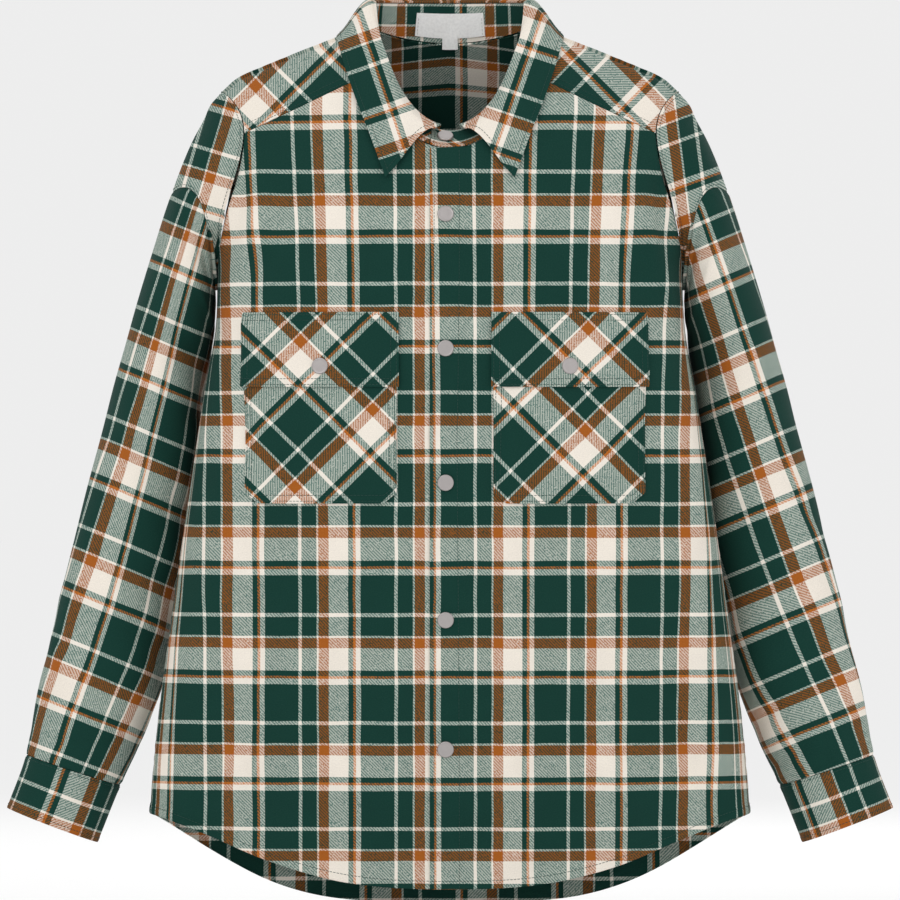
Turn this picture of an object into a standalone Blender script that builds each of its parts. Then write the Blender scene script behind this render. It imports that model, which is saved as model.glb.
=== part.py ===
"""Long-sleeved flannel overshirt, filled out as if worn, built from its sewn pieces.

Metres, +Z up. The origin is the middle of the neck at the height of the back neck seam.
The front faces -Y, and the wearer's left is at +X. Every piece is a thin closed wall.
"""
import math

import bpy
import numpy as np

# Cloth and seams
CLOTH = 0.0012
COLLAR_CLOTH = 0.0016
LABEL_CLOTH = 0.0010
SEAM_GAP = 0.0003
LAYER_GAP = 0.0004
PATCH_GAP = 0.0007
FRONT = -1
BACK = 1

# Body: cross-sections from the collar down to the tail
BODY_COLUMNS = ("height", "half_width", "front_y", "back_y", "side_y", "power")
BODY_SECTIONS = (
    (0.050, 0.226, -0.058, 0.062, 0.004, 3.4),
    (-0.090, 0.224, -0.083, 0.100, 0.006, 3.4),
    (-0.190, 0.2155, -0.110, 0.118, 0.010, 3.2),
    (-0.250, 0.2145, -0.118, 0.122, 0.008, 3.0),
    (-0.330, 0.2270, -0.121, 0.120, 0.000, 2.8),
    (-0.410, 0.2390, -0.118, 0.114, -0.006, 2.6),
    (-0.530, 0.2560, -0.108, 0.104, -0.010, 2.4),
    (-0.620, 0.2680, -0.100, 0.096, -0.010, 2.3),
    (-0.710, 0.2760, -0.092, 0.089, -0.006, 2.2),
    (-0.830, 0.2800, -0.085, 0.084, -0.004, 2.2),
)

# Soft hanging folds of the body: share of the quarter ring they lie at, middle height, reach and size
BODY_FOLD_COLUMNS = ("face", "share", "middle", "reach", "width", "depth")
BODY_FOLDS = (
    (FRONT, 0.70, -0.66, 0.16, 0.09, -0.0045),
    (FRONT, 0.86, -0.50, 0.18, 0.07, -0.0040),
    (FRONT, -0.74, -0.64, 0.17, 0.08, -0.0045),
    (FRONT, -0.88, -0.46, 0.16, 0.07, -0.0040),
    (BACK, 0.35, -0.56, 0.26, 0.11, -0.0058),
    (BACK, -0.42, -0.60, 0.24, 0.10, -0.0060),
    (BACK, 0.75, -0.48, 0.20, 0.08, -0.0045),
    (BACK, -0.78, -0.46, 0.20, 0.08, -0.0045),
)
FOLD_SIDE_FADE = 8

# Shoulders, neckline and yoke
NECK_HALF_WIDTH = 0.0755
RIDGE_AT_NECK = 0.0135
SHOULDER_FALL = 0.404
SHOULDER_BEND_FROM = 0.180
SHOULDER_BEND = 5.9
SHOULDER_DROP = {FRONT: 0.16, BACK: 0.14}
NECK_FRONT_HEIGHT = -0.100
NECK_BACK_HEIGHT = 0.0
OVERLAP_ANGLE = math.radians(11)
YOKE_NECK_ANGLE = math.radians(68)
YOKE_CORNER_ANGLE = math.radians(58)

# Armhole
ARMHOLE_TOP_X = 0.2098
ARMHOLE_BOTTOM_HEIGHT = -0.212
ARMHOLE_DIP = {FRONT: 0.022, BACK: 0.014}
ARMHOLE_DIP_POWER = 1.8

# Front edges and hem
OVERLAP_EDGE = 0.0184
UNDERLAP_EDGE = 0.0125
EDGE_COLUMNS_X = (0.0150, 0.0300)
OVERLAP_LIFT = CLOTH + LAYER_GAP
HEM_SIDE_HEIGHT = -0.709
HEM_MIDDLE_HEIGHT = {FRONT: -0.776, BACK: -0.795}
HEM_SWEEP = {FRONT: 1.4, BACK: 1.8}
HEM_TURN = 0.008

# Arms: rings from the cap down to the cuff, outer and inner edge seen from the front
ARM_COLUMNS = ("outer_x", "outer_z", "inner_x", "inner_z", "mid_y", "half_depth", "shift_x", "shift_z")
ARM_RINGS = (
    (0.2370, -0.0900, 0.2165, -0.2190, 0.012, 0.069, -0.012, 0.022),
    (0.2558, -0.1380, 0.2163, -0.2280, 0.016, 0.072, -0.008, 0.033),
    (0.2710, -0.1820, 0.2158, -0.2450, 0.022, 0.073, -0.003, 0.018),
    (0.2880, -0.2370, 0.2188, -0.2750, 0.032, 0.072, 0.000, 0.006),
    (0.3140, -0.3290, 0.2285, -0.3600, 0.048, 0.068, 0.000, 0.000),
    (0.3386, -0.4210, 0.2390, -0.4590, 0.054, 0.064, 0.000, 0.000),
    (0.3610, -0.5130, 0.2540, -0.5550, 0.048, 0.060, 0.000, 0.000),
    (0.3788, -0.5900, 0.2780, -0.6285, 0.038, 0.054, 0.000, 0.000),
    (0.3910, -0.6560, 0.3036, -0.6845, 0.031, 0.044, 0.000, 0.000),
    (0.4090, -0.7050, 0.3248, -0.7370, 0.027, 0.038, 0.000, 0.000),
)
CAP_SEAM_RING = 2
CUFF_SEAM_RING = 9
CUFF_END_RING = 10

# Soft folds across the sleeve: ring they lie at, angle round the arm, and their size
SLEEVE_FOLD_COLUMNS = ("ring", "angle", "reach", "spread", "depth")
SLEEVE_FOLDS = (
    (4.4, 2.3, 0.35, 0.9, 0.0045),
    (5.6, 1.5, 0.30, 1.0, 0.0040),
    (6.5, 2.2, 0.32, 1.1, 0.0050),
    (7.6, 1.3, 0.28, 1.0, 0.0035),
    (6.2, 4.6, 0.34, 1.0, 0.0045),
    (7.3, 5.1, 0.30, 1.0, 0.0035),
)
SLEEVE_FOLD_SLANT = 0.25

# Collar
ROLL_HALF_WIDTH = 0.0685
ROLL_LEAN = {FRONT: 0.023, BACK: -0.002}
ROLL_FRONT_HEIGHT = -0.0845
ROLL_RISE = 0.120
ROLL_BACK_RISE = 0.0015
STAND_END_GAP = 0.0006
STAND_RAISE = 0.0009
LEAF_FRONT_ANGLE = math.radians(8.5)
LEAF_EDGE_COLUMNS = ("share", "x", "z")
LEAF_EDGE = (
    (0.00, 0.0590, -0.1270),
    (0.30, 0.0727, -0.0890),
    (0.60, 0.0870, -0.0520),
    (0.80, 0.0965, -0.0240),
    (1.00, 0.1050, 0.0060),
)
LEAF_CLEAR = 0.0050
LEAF_CLEAR_FADE = 6
LEAF_BACK_Y = 0.072
LEAF_BACK_HEIGHT = -0.006
LEAF_SEAT = 2 * LAYER_GAP + COLLAR_CLOTH
LEAF_ROLL_UP = 0.0100
LEAF_OUT = 0.0050
LEAF_TURN_UP = 0.0010
LEAF_SPACING = 1.4
ARCH_PEAK = 6.75

# Pockets, flaps, snaps and labels
POCKET_WIDTH = 0.138
POCKET_TOP = -0.288
POCKET_BOTTOM = -0.424
POCKET_CORNER = 0.010
POCKET_MIDDLE = {"left": 0.1085, "right": -0.1175}
FLAP_WIDTH = 0.142
FLAP_TOP = -0.250
FLAP_BOTTOM = -0.318
FLAP_TAPER = 0.012
SNAP_RADIUS = 0.0075
SNAP_HEIGHT = 0.0020
SNAP_EDGE = 0.0006
SNAP_SIDES = 20
FRONT_SNAP_X = -0.0040
FRONT_SNAP_HEIGHTS = (-0.161, -0.283, -0.405, -0.530, -0.648)
FLAP_SNAP_HEIGHT = -0.299
COLLAR_SNAP_SHARE = 0.45
COLLAR_SNAP_ALONG = 0.42
LABEL_WIDTH = 0.069
LABEL_TOP_SHARE = 0.76
LABEL_BOTTOM_SHARE = 0.14
TAB_WIDTH = 0.0155
TAB_BOTTOM_SHARE = -0.14
TAB_TOP_SHARE = 0.22

# Number of grid steps
YOKE_END_STEPS = 3
FRONT_ARMHOLE_STEPS = 7
BACK_ARMHOLE_STEPS = 9
SIDE_STEPS = 11
NECK_STEPS = 4
BACK_NECK_STEPS = 5
YOKE_STEPS = 6
CAP_STEPS = 4
SLEEVE_STEPS = 14
CUFF_STEPS = 2
LEAF_STEPS = 7
STAND_STEPS = 2
STAND_FINE = 6
LABEL_ROWS = 2
PATCH_COLUMNS = 12
POCKET_ROWS = 7
FLAP_ROWS = 5
TABLE_LEVELS = 240
TABLE_SHARES = 161
RING_SAMPLES = 400
TABLE_EDGE = 0.001
UPPER_SPACING = 1.3

# Seams are matched within this distance, and share normals where their faces turn less than this cosine
SEAM_MATCH = 0.002
SEAM_TURN = 0.3
SHARP_ANGLE = math.radians(40)
UNDERARM_REACHED = 1.0 - 1e-9

# Finishes: colour, roughness and metallic value
PLAID_GREEN = ((0.045, 0.150, 0.120), 0.92, 0.0)
BIAS_GREEN = ((0.090, 0.190, 0.155), 0.92, 0.0)
SNAP_METAL = ((0.560, 0.530, 0.500), 0.38, 1.0)
LABEL_WHITE = ((0.860, 0.850, 0.820), 0.80, 0.0)


def smooth(knots, values, at):
    """Cubic curve through the values, whose slope at each knot comes from its neighbours."""
    knots = np.asarray(knots, dtype=float)
    values = np.asarray(values, dtype=float)
    at = np.asarray(at, dtype=float)
    slopes = np.gradient(values, knots, axis=0)
    index = np.clip(np.searchsorted(knots, at, side="right") - 1, 0, len(knots) - 2)
    step = knots[index + 1] - knots[index]
    along = (at - knots[index]) / step
    extra = (1,) * (values.ndim - 1)
    step = step.reshape(step.shape + extra)
    along = along.reshape(along.shape + extra)
    start_weight = 2 * along**3 - 3 * along**2 + 1
    slope_weight = along**3 - 2 * along**2 + along
    end_slope_weight = along**3 - along**2
    start = start_weight * values[index] + slope_weight * step * slopes[index]
    end = (1 - start_weight) * values[index + 1] + end_slope_weight * step * slopes[index + 1]
    return start + end


def named_columns(columns, rows):
    """A table's columns by name, each as an array."""
    return {name: np.array(values) for name, values in zip(columns, zip(*rows))}


BODY = named_columns(BODY_COLUMNS, BODY_SECTIONS[::-1])
ARM = named_columns(ARM_COLUMNS, ARM_RINGS)
LEAF = named_columns(LEAF_EDGE_COLUMNS, LEAF_EDGE)
BODY_FOLD_ROWS = [dict(zip(BODY_FOLD_COLUMNS, row)) for row in BODY_FOLDS]
SLEEVE_FOLD_ROWS = [dict(zip(SLEEVE_FOLD_COLUMNS, row)) for row in SLEEVE_FOLDS]
LEVELS = np.linspace(BODY["height"][0], BODY["height"][-1], TABLE_LEVELS)
SHARES = np.linspace(0.0, 1.0, TABLE_SHARES)


def body(name, height):
    return smooth(BODY["height"], BODY[name], height)


def ring_tables(face):
    """Half width and depth share of a quarter ring, by level and by share of its length from the middle."""
    angles = np.linspace(0.0, math.pi / 2, RING_SAMPLES)
    edge = "front_y" if face == FRONT else "back_y"
    width_rows = []
    depth_rows = []
    for level in LEVELS:
        exponent = 2.0 / body("power", level)
        across = body("half_width", level) * np.sin(angles) ** exponent
        depth_share = np.clip(np.cos(angles), 0.0, 1.0) ** exponent
        outward = abs(body(edge, level) - body("side_y", level)) * depth_share
        length = np.concatenate(([0.0], np.cumsum(np.hypot(np.diff(across), np.diff(outward)))))
        width_rows.append(np.interp(SHARES, length / length[-1], across))
        depth_rows.append(np.interp(SHARES, length / length[-1], depth_share))
    return np.array(width_rows), np.array(depth_rows)


RING_TABLES = {FRONT: ring_tables(FRONT), BACK: ring_tables(BACK)}


def table_value(table, share, height):
    """Read a ring table between its entries."""
    row = np.clip((height - LEVELS[0]) / (LEVELS[1] - LEVELS[0]), 0, TABLE_LEVELS - 1 - TABLE_EDGE)
    column = np.clip(share, 0.0, 1.0) * (TABLE_SHARES - 1 - TABLE_EDGE)
    i = row.astype(int)
    j = column.astype(int)
    u = row - i
    v = column - j
    low = table[i, j] * (1 - v) + table[i, j + 1] * v
    high = table[i + 1, j] * (1 - v) + table[i + 1, j + 1] * v
    return low * (1 - u) + high * u


def ridge(across):
    """Height of the shoulder's top line at a distance from the middle."""
    bend = SHOULDER_BEND * np.maximum(across - SHOULDER_BEND_FROM, 0.0) ** 2
    return RIDGE_AT_NECK - SHOULDER_FALL * (across - NECK_HALF_WIDTH) - bend


def body_point(face, share, height):
    """Point of the body's outer surface, at a signed share of the quarter ring."""
    share, height = np.broadcast_arrays(np.asarray(share, dtype=float), np.asarray(height, dtype=float))
    widths, depths = RING_TABLES[face]
    across = table_value(widths, np.abs(share), height)
    fall = np.clip((ridge(across) - height) / SHOULDER_DROP[face], 0.0, 1.0)
    rounding = np.sqrt(1.0 - (1.0 - fall) ** 2)
    edge = body("front_y" if face == FRONT else "back_y", height)
    side = body("side_y", height)
    outward = (edge - side) * table_value(depths, np.abs(share), height) * rounding
    for fold in BODY_FOLD_ROWS:
        if fold["face"] == face:
            across_fold = (share - fold["share"]) / fold["width"]
            along_fold = (height - fold["middle"]) / fold["reach"]
            spread = np.exp(-(across_fold**2) - along_fold**2)
            outward = outward + face * fold["depth"] * spread * (1.0 - np.abs(share) ** FOLD_SIDE_FADE)
    return np.stack((np.sign(share) * across, side + outward, height), axis=-1)


def share_at(face, across, height):
    """Share of the quarter ring at which the body is this far from the middle."""
    across, height = np.broadcast_arrays(np.asarray(across, dtype=float), np.asarray(height, dtype=float))
    widths = RING_TABLES[face][0]
    found = []
    for x, z in zip(across.ravel(), height.ravel()):
        row = table_value(widths, SHARES, np.full(TABLE_SHARES, z))
        found.append(math.copysign(np.interp(abs(x), row, SHARES), x))
    return np.array(found).reshape(across.shape)


def armhole(face, angles):
    """Half of the armhole edge, from the shoulder's end at angle 0 down to the underarm at pi."""
    down = (1.0 - np.cos(angles)) / 2.0
    top = float(ridge(ARMHOLE_TOP_X))
    height = top + (ARMHOLE_BOTTOM_HEIGHT - top) * down
    bottom_x = float(body("half_width", ARMHOLE_BOTTOM_HEIGHT))
    dip = ARMHOLE_DIP[face] * np.abs(np.sin(math.pi * np.sqrt(down))) ** ARMHOLE_DIP_POWER
    across = ARMHOLE_TOP_X + (bottom_x - ARMHOLE_TOP_X) * down - dip
    share = share_at(face, across, height)
    share[down > UNDERARM_REACHED] = 1.0
    return np.stack((share, height), axis=-1)


def neckline(face, angles):
    """Half of the neck edge, from the middle at angle 0 to the shoulder at a right angle."""
    across = NECK_HALF_WIDTH * np.sin(angles)
    if face == FRONT:
        height = RIDGE_AT_NECK - (RIDGE_AT_NECK - NECK_FRONT_HEIGHT) * np.cos(angles)
    else:
        height = NECK_BACK_HEIGHT + (RIDGE_AT_NECK - NECK_BACK_HEIGHT) * np.sin(angles) ** 2
    return np.stack((share_at(face, across, height), height), axis=-1)


def hem_height(face, share):
    """Height of the curved tail hem."""
    rise = (1.0 - np.cos(math.pi * np.abs(share) ** HEM_SWEEP[face])) / 2.0
    return HEM_MIDDLE_HEIGHT[face] + (HEM_SIDE_HEIGHT - HEM_MIDDLE_HEIGHT[face]) * rise


def steps(start, end, count):
    return np.linspace(start, end, count + 1)


def path_share(path):
    """Share of a path's length at each of its points."""
    length = np.concatenate(([0.0], np.cumsum(np.linalg.norm(np.diff(path, axis=0), axis=1))))
    return length / length[-1]


def fill_patch(bottom, top, left, right):
    """Grid inside four edges that meet at their ends: rows run from bottom to top."""
    across = ((path_share(bottom) + path_share(top)) / 2)[None, :, None]
    upward = ((path_share(left) + path_share(right)) / 2)[:, None, None]
    sides = (1 - across) * left[:, None] + across * right[:, None]
    ends = (1 - upward) * bottom[None] + upward * top[None]
    corners_low = (1 - across) * bottom[0] + across * bottom[-1]
    corners_high = (1 - across) * top[0] + across * top[-1]
    return sides + ends - (1 - upward) * corners_low - upward * corners_high


def grid_normals(grid, closed):
    """Unit normals of a grid of points, across its columns then up its rows."""
    if closed:
        across = np.roll(grid, -1, axis=1) - np.roll(grid, 1, axis=1)
    else:
        across = np.gradient(grid, axis=1)
    upward = np.gradient(grid, axis=0)
    normals = np.cross(across, upward)
    return normals / np.linalg.norm(normals, axis=-1, keepdims=True)


def trimmed(grid, sides, gap=SEAM_GAP):
    """Draw the named edges of a grid back from their seams."""
    result = grid.copy()
    edges = {
        "bottom": (result[0], grid[1]),
        "top": (result[-1], grid[-2]),
        "left": (result[:, 0], grid[:, 1]),
        "right": (result[:, -1], grid[:, -2]),
    }
    for side in sides:
        edge, inner = edges[side]
        toward = inner - edge
        edge += gap * toward / np.linalg.norm(toward, axis=-1, keepdims=True)
    return result


def principled(name, finish):
    """Plain material from a colour, a roughness and a metallic value."""
    colour, roughness, metallic = finish
    material = bpy.data.materials.new(name)
    material.use_nodes = True
    shader = material.node_tree.nodes["Principled BSDF"]
    shader.inputs["Base Color"].default_value = (*colour, 1.0)
    shader.inputs["Roughness"].default_value = roughness
    shader.inputs["Metallic"].default_value = metallic
    return material


def add_object(name, points, faces, finish):
    """One smooth-shaded object from points and faces."""
    mesh = bpy.data.meshes.new(name)
    mesh.from_pydata([tuple(point) for point in points], [], faces)
    mesh.validate()
    mesh.shade_smooth()
    mesh.set_sharp_from_angle(angle=SHARP_ANGLE)
    mesh.materials.append(principled(name + "_finish", finish))
    thing = bpy.data.objects.new(name, mesh)
    bpy.context.collection.objects.link(thing)
    return thing


def add_wall(name, outer, normals, thickness, finish, closed=False):
    """Closed wall between an outer grid and the same grid moved in along its normals.

    Both layers are cut along the same, shorter diagonals, so that they never cross.
    """
    rows, columns = outer.shape[:2]
    inner = outer - thickness * normals
    points = np.concatenate((outer.reshape(-1, 3), inner.reshape(-1, 3)))
    layer = rows * columns
    spans = columns if closed else columns - 1

    def at(row, column, side):
        return side * layer + row * columns + column % columns

    def apart(start, end):
        return np.linalg.norm(points[at(*start, 0)] - points[at(*end, 0)])

    faces = []
    for row in range(rows - 1):
        for column in range(spans):
            loop = [(row, column), (row, column + 1), (row + 1, column + 1), (row + 1, column)]
            if apart(loop[0], loop[2]) > apart(loop[1], loop[3]):
                loop = loop[1:] + loop[:1]
            for triangle in (loop[:3], loop[2:] + loop[:1]):
                faces.append([at(i, j, 0) for i, j in triangle])
                faces.append([at(i, j, 1) for i, j in reversed(triangle)])
    last = rows - 1
    for column in range(spans):
        after = column + 1
        faces.append([at(0, after, 0), at(0, column, 0), at(0, column, 1), at(0, after, 1)])
        faces.append([at(last, column, 0), at(last, after, 0), at(last, after, 1), at(last, column, 1)])
    if not closed:
        for row in range(rows - 1):
            end = columns - 1
            faces.append([at(row, 0, 0), at(row + 1, 0, 0), at(row + 1, 0, 1), at(row, 0, 1)])
            faces.append([at(row + 1, end, 0), at(row, end, 0), at(row, end, 1), at(row + 1, end, 1)])
    return add_object(name, points, faces, finish)


def mirrored(grid):
    """The same grid on the other side of the body, with its columns turned round."""
    return (grid * np.array((-1.0, 1.0, 1.0)))[:, ::-1]


def down_to_hem(hem):
    """Even heights from the underarm down to the hem's turn, then the hem."""
    return np.append(steps(ARMHOLE_BOTTOM_HEIGHT, hem + HEM_TURN, SIDE_STEPS - 1), hem)


def middle_heights(top, hem, upper_count):
    """Heights down an inner edge: closer together near the top, even below the underarm."""
    upper = top + (ARMHOLE_BOTTOM_HEIGHT - top) * steps(0.0, 1.0, upper_count) ** UPPER_SPACING
    return np.concatenate((upper, down_to_hem(hem)[1:]))


def side_seam():
    """Side seam from the underarm down, as shares of the quarter ring and heights."""
    return np.stack((np.ones(SIDE_STEPS + 1), down_to_hem(HEM_SIDE_HEIGHT)), axis=-1)


def front_grid(inner_x):
    """Outer grid of one front, from its front edge to the side seam and armhole; bottom row first."""
    corner = armhole(FRONT, steps(YOKE_CORNER_ANGLE, math.pi, FRONT_ARMHOLE_STEPS))
    right = np.concatenate((corner, side_seam()[1:]))[::-1]
    neck = neckline(FRONT, steps(OVERLAP_ANGLE, YOKE_NECK_ANGLE, NECK_STEPS))
    corner_point = np.stack((share_at(FRONT, inner_x, NECK_FRONT_HEIGHT), NECK_FRONT_HEIGHT))[None]
    top = np.concatenate((corner_point, neck, yoke_seam()[1:]))
    heights = middle_heights(top[0, 1], HEM_MIDDLE_HEIGHT[FRONT], FRONT_ARMHOLE_STEPS)[::-1]
    left = np.stack((share_at(FRONT, inner_x, heights), heights), axis=-1)
    near_edge = share_at(FRONT, np.array(EDGE_COLUMNS_X), HEM_MIDDLE_HEIGHT[FRONT])
    outward = steps(near_edge[-1], 1.0, NECK_STEPS + YOKE_STEPS + 1 - len(near_edge))
    shares = np.concatenate(([left[0, 0]], near_edge[:-1], outward))
    bottom = np.stack((shares, hem_height(FRONT, shares)), axis=-1)
    left[0] = bottom[0]
    flat = fill_patch(bottom, top, left, right)
    return body_point(FRONT, flat[..., 0], flat[..., 1])


def yoke_seam():
    """Seam between a front and its yoke, from the neck out to the armhole."""
    start = neckline(FRONT, np.array([YOKE_NECK_ANGLE]))[0]
    end = armhole(FRONT, np.array([YOKE_CORNER_ANGLE]))[0]
    start_x = NECK_HALF_WIDTH * math.sin(YOKE_NECK_ANGLE)
    end_x = body_point(FRONT, end[0], end[1])[0]
    across = steps(start_x, end_x, YOKE_STEPS)
    height = start[1] + (end[1] - start[1]) * (across - start_x) / (end_x - start_x)
    return np.stack((share_at(FRONT, across, height), height), axis=-1)


def yoke_grid():
    """Outer grid of one yoke: its front seam at the bottom, the shoulder seam at the top."""
    seam = yoke_seam()
    seam_x = body_point(FRONT, seam[:, 0], seam[:, 1])[:, 0]
    neck = neckline(FRONT, steps(YOKE_NECK_ANGLE, math.pi / 2, YOKE_END_STEPS))
    end = armhole(FRONT, steps(YOKE_CORNER_ANGLE, 0.0, YOKE_END_STEPS))

    def spread(path):
        points = body_point(FRONT, path[:, 0], path[:, 1])
        drop = np.sqrt(np.maximum(ridge(points[:, 0]) - points[:, 2], 0.0))
        return np.stack((points[:, 0], drop), axis=-1)

    across = steps(NECK_HALF_WIDTH, ARMHOLE_TOP_X, YOKE_STEPS)
    top = np.stack((across, np.zeros(YOKE_STEPS + 1)), axis=-1)
    bottom = np.stack((seam_x, np.sqrt(ridge(seam_x) - seam[:, 1])), axis=-1)
    left = spread(neck)
    right = spread(end)
    left[-1] = top[0]
    right[-1] = top[-1]
    flat = fill_patch(bottom, top, left, right)
    height = ridge(flat[..., 0]) - flat[..., 1] ** 2
    return body_point(FRONT, share_at(FRONT, flat[..., 0], height), height)


def back_half_grid():
    """Outer grid of the wearer's left half of the back, from the middle to the side; bottom row first."""
    arm = armhole(BACK, steps(0.0, math.pi, BACK_ARMHOLE_STEPS))
    right = np.concatenate((arm, side_seam()[1:]))[::-1]
    neck = neckline(BACK, steps(0.0, math.pi / 2, BACK_NECK_STEPS))
    shoulder_x = steps(NECK_HALF_WIDTH, ARMHOLE_TOP_X, YOKE_STEPS)
    shoulder = np.stack((share_at(BACK, shoulder_x, ridge(shoulder_x)), ridge(shoulder_x)), axis=-1)
    top = np.concatenate((neck, shoulder[1:]))
    heights = middle_heights(NECK_BACK_HEIGHT, HEM_MIDDLE_HEIGHT[BACK], BACK_ARMHOLE_STEPS)[::-1]
    left = np.stack((np.zeros(len(heights)), heights), axis=-1)
    shares = steps(0.0, 1.0, BACK_NECK_STEPS + YOKE_STEPS)
    bottom = np.stack((shares, hem_height(BACK, shares)), axis=-1)
    flat = fill_patch(bottom, top, left, right)
    return body_point(BACK, flat[..., 0], flat[..., 1])


def back_grid():
    """Outer grid of the whole back, from the wearer's left side to the right."""
    half = back_half_grid()
    return np.concatenate((half[:, ::-1], mirrored(half)[:, ::-1][:, 1:]), axis=1)


def arm_angles():
    """Angles round the arm: outer line, yoke end, front, underarm, back and round again."""
    yoke = steps(0.0, YOKE_CORNER_ANGLE, YOKE_END_STEPS)
    front = steps(YOKE_CORNER_ANGLE, math.pi, FRONT_ARMHOLE_STEPS)[1:]
    back = steps(math.pi, 2 * math.pi, BACK_ARMHOLE_STEPS)[1:-1]
    return np.concatenate((yoke, front, back))


def arm_rings():
    """The armhole edge and the arm's rings, with the same angles round each."""
    angles = arm_angles()
    edge = []
    for face, part in ((FRONT, angles[angles <= math.pi]), (BACK, 2 * math.pi - angles[angles > math.pi])):
        flat = armhole(face, part)
        points = body_point(face, flat[:, 0], flat[:, 1])
        outward = points - np.array((0.0, 0.0, points[:, 2].mean()))
        points = points + SEAM_GAP * outward / np.linalg.norm(outward, axis=-1, keepdims=True)
        edge.append(points)
    rings = [np.concatenate(edge)]
    for index in range(len(ARM["mid_y"])):
        row = {name: ARM[name][index] for name in ARM_COLUMNS}
        x = (row["outer_x"] + row["inner_x"]) / 2 + (row["outer_x"] - row["inner_x"]) / 2 * np.cos(angles)
        z = (row["outer_z"] + row["inner_z"]) / 2 + (row["outer_z"] - row["inner_z"]) / 2 * np.cos(angles)
        x = x + row["shift_x"] * np.sin(angles) ** 2
        z = z + row["shift_z"] * np.sin(angles) ** 2
        y = row["mid_y"] - row["half_depth"] * np.sin(angles)
        rings.append(np.stack((x, y, z), axis=-1))
    return np.array(rings)


def arm_grid(first, last, count):
    """Outer grid of the arm between two of its rings, with its soft folds; the lower ring first."""
    rings = arm_rings()
    at = steps(last, first, count)
    grid = smooth(np.arange(len(rings)), rings, at)
    angles = arm_angles()[None, :]
    centre = grid.mean(axis=1, keepdims=True)
    inward = centre - grid
    inward = inward / np.linalg.norm(inward, axis=-1, keepdims=True)
    for fold in SLEEVE_FOLD_ROWS:
        turn = (angles - fold["angle"] + math.pi) % (2 * math.pi) - math.pi
        along = (at[:, None] - fold["ring"] - SLEEVE_FOLD_SLANT * turn) / fold["reach"]
        dent = fold["depth"] * np.exp(-(along**2) - (turn / fold["spread"]) ** 2)
        grid = grid + dent[..., None] * inward
    return grid


def collar_base(angle):
    """Neck seam at an angle from the middle front (0) round the wearer's left to the back (pi)."""
    turn = abs(angle)
    face = FRONT if turn <= math.pi / 2 else BACK
    flat = neckline(face, np.array([turn if face == FRONT else math.pi - turn]))
    point = body_point(face, flat[:, 0], flat[:, 1])[0]
    point[0] = math.copysign(point[0], angle)
    return point


def collar_roll(angle):
    """Top of the collar stand, where the leaf turns over: it leans back in front and stands up behind."""
    turn = abs(angle)
    lean = ROLL_LEAN[FRONT] if turn <= math.pi / 2 else ROLL_LEAN[BACK]
    x = ROLL_HALF_WIDTH * math.sin(turn)
    y = collar_base(angle)[1] + lean * abs(math.cos(turn))
    rise = ROLL_RISE * min(1.0 - math.cos(turn), 1.0)
    z = ROLL_FRONT_HEIGHT + rise + ROLL_BACK_RISE * max(-math.cos(turn), 0.0)
    return np.array((math.copysign(x, angle), y, z))


def leaf_edge(angle):
    """Outer edge of the collar leaf at the same angle: points in front, level behind."""
    turn = abs(angle)
    if turn <= math.pi / 2:
        share = (turn - LEAF_FRONT_ANGLE) / (math.pi / 2 - LEAF_FRONT_ANGLE)
        x = float(smooth(LEAF["share"], LEAF["x"], share))
        z = float(smooth(LEAF["share"], LEAF["z"], share))
        under = min(z, float(ridge(x)))
        surface = body_point(FRONT, share_at(FRONT, x, under), under)
        y = surface[1] - LEAF_CLEAR * (1.0 - share**LEAF_CLEAR_FADE)
    else:
        swing = -math.cos(turn)
        x = LEAF["x"][-1] * math.sin(turn)
        y = collar_side_y() + (LEAF_BACK_Y - collar_side_y()) * swing
        z = LEAF["z"][-1] + (LEAF_BACK_HEIGHT - LEAF["z"][-1]) * swing**2
    return np.array((math.copysign(x, angle), y, z))


def collar_side_y():
    return float(body("side_y", ridge(LEAF["x"][-1])))


def neck_angles():
    """Angles of the neck edge's points on one side, from the front overlap round to the middle back."""
    front = steps(OVERLAP_ANGLE, YOKE_NECK_ANGLE, NECK_STEPS)
    yoke = steps(YOKE_NECK_ANGLE, math.pi / 2, YOKE_END_STEPS)[1:]
    back = steps(math.pi / 2, math.pi, BACK_NECK_STEPS)[1:]
    return np.concatenate((front, yoke, back))


def stand_angles():
    """Angles once round the neck, from the overlapping left end to the right end under it."""
    end = math.asin(OVERLAP_EDGE / NECK_HALF_WIDTH)
    half_gap = STAND_END_GAP / 2 / NECK_HALF_WIDTH
    left = neck_angles()
    right = 2 * math.pi - left[-2:0:-1]
    return np.concatenate(([half_gap - end], left, right, [2 * math.pi - end - half_gap]))


def stand_grid():
    """Outer grid of the collar stand, once round the neck from edge to edge at the front."""
    angles = (stand_angles() + math.pi) % (2 * math.pi) - math.pi
    base = np.array([collar_base(angle) for angle in angles])
    roll = np.array([collar_roll(angle) for angle in angles])
    rise = np.linspace(0.0, 1.0, STAND_STEPS + 1)[:, None, None]
    return base + (roll - base) * rise


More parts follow.
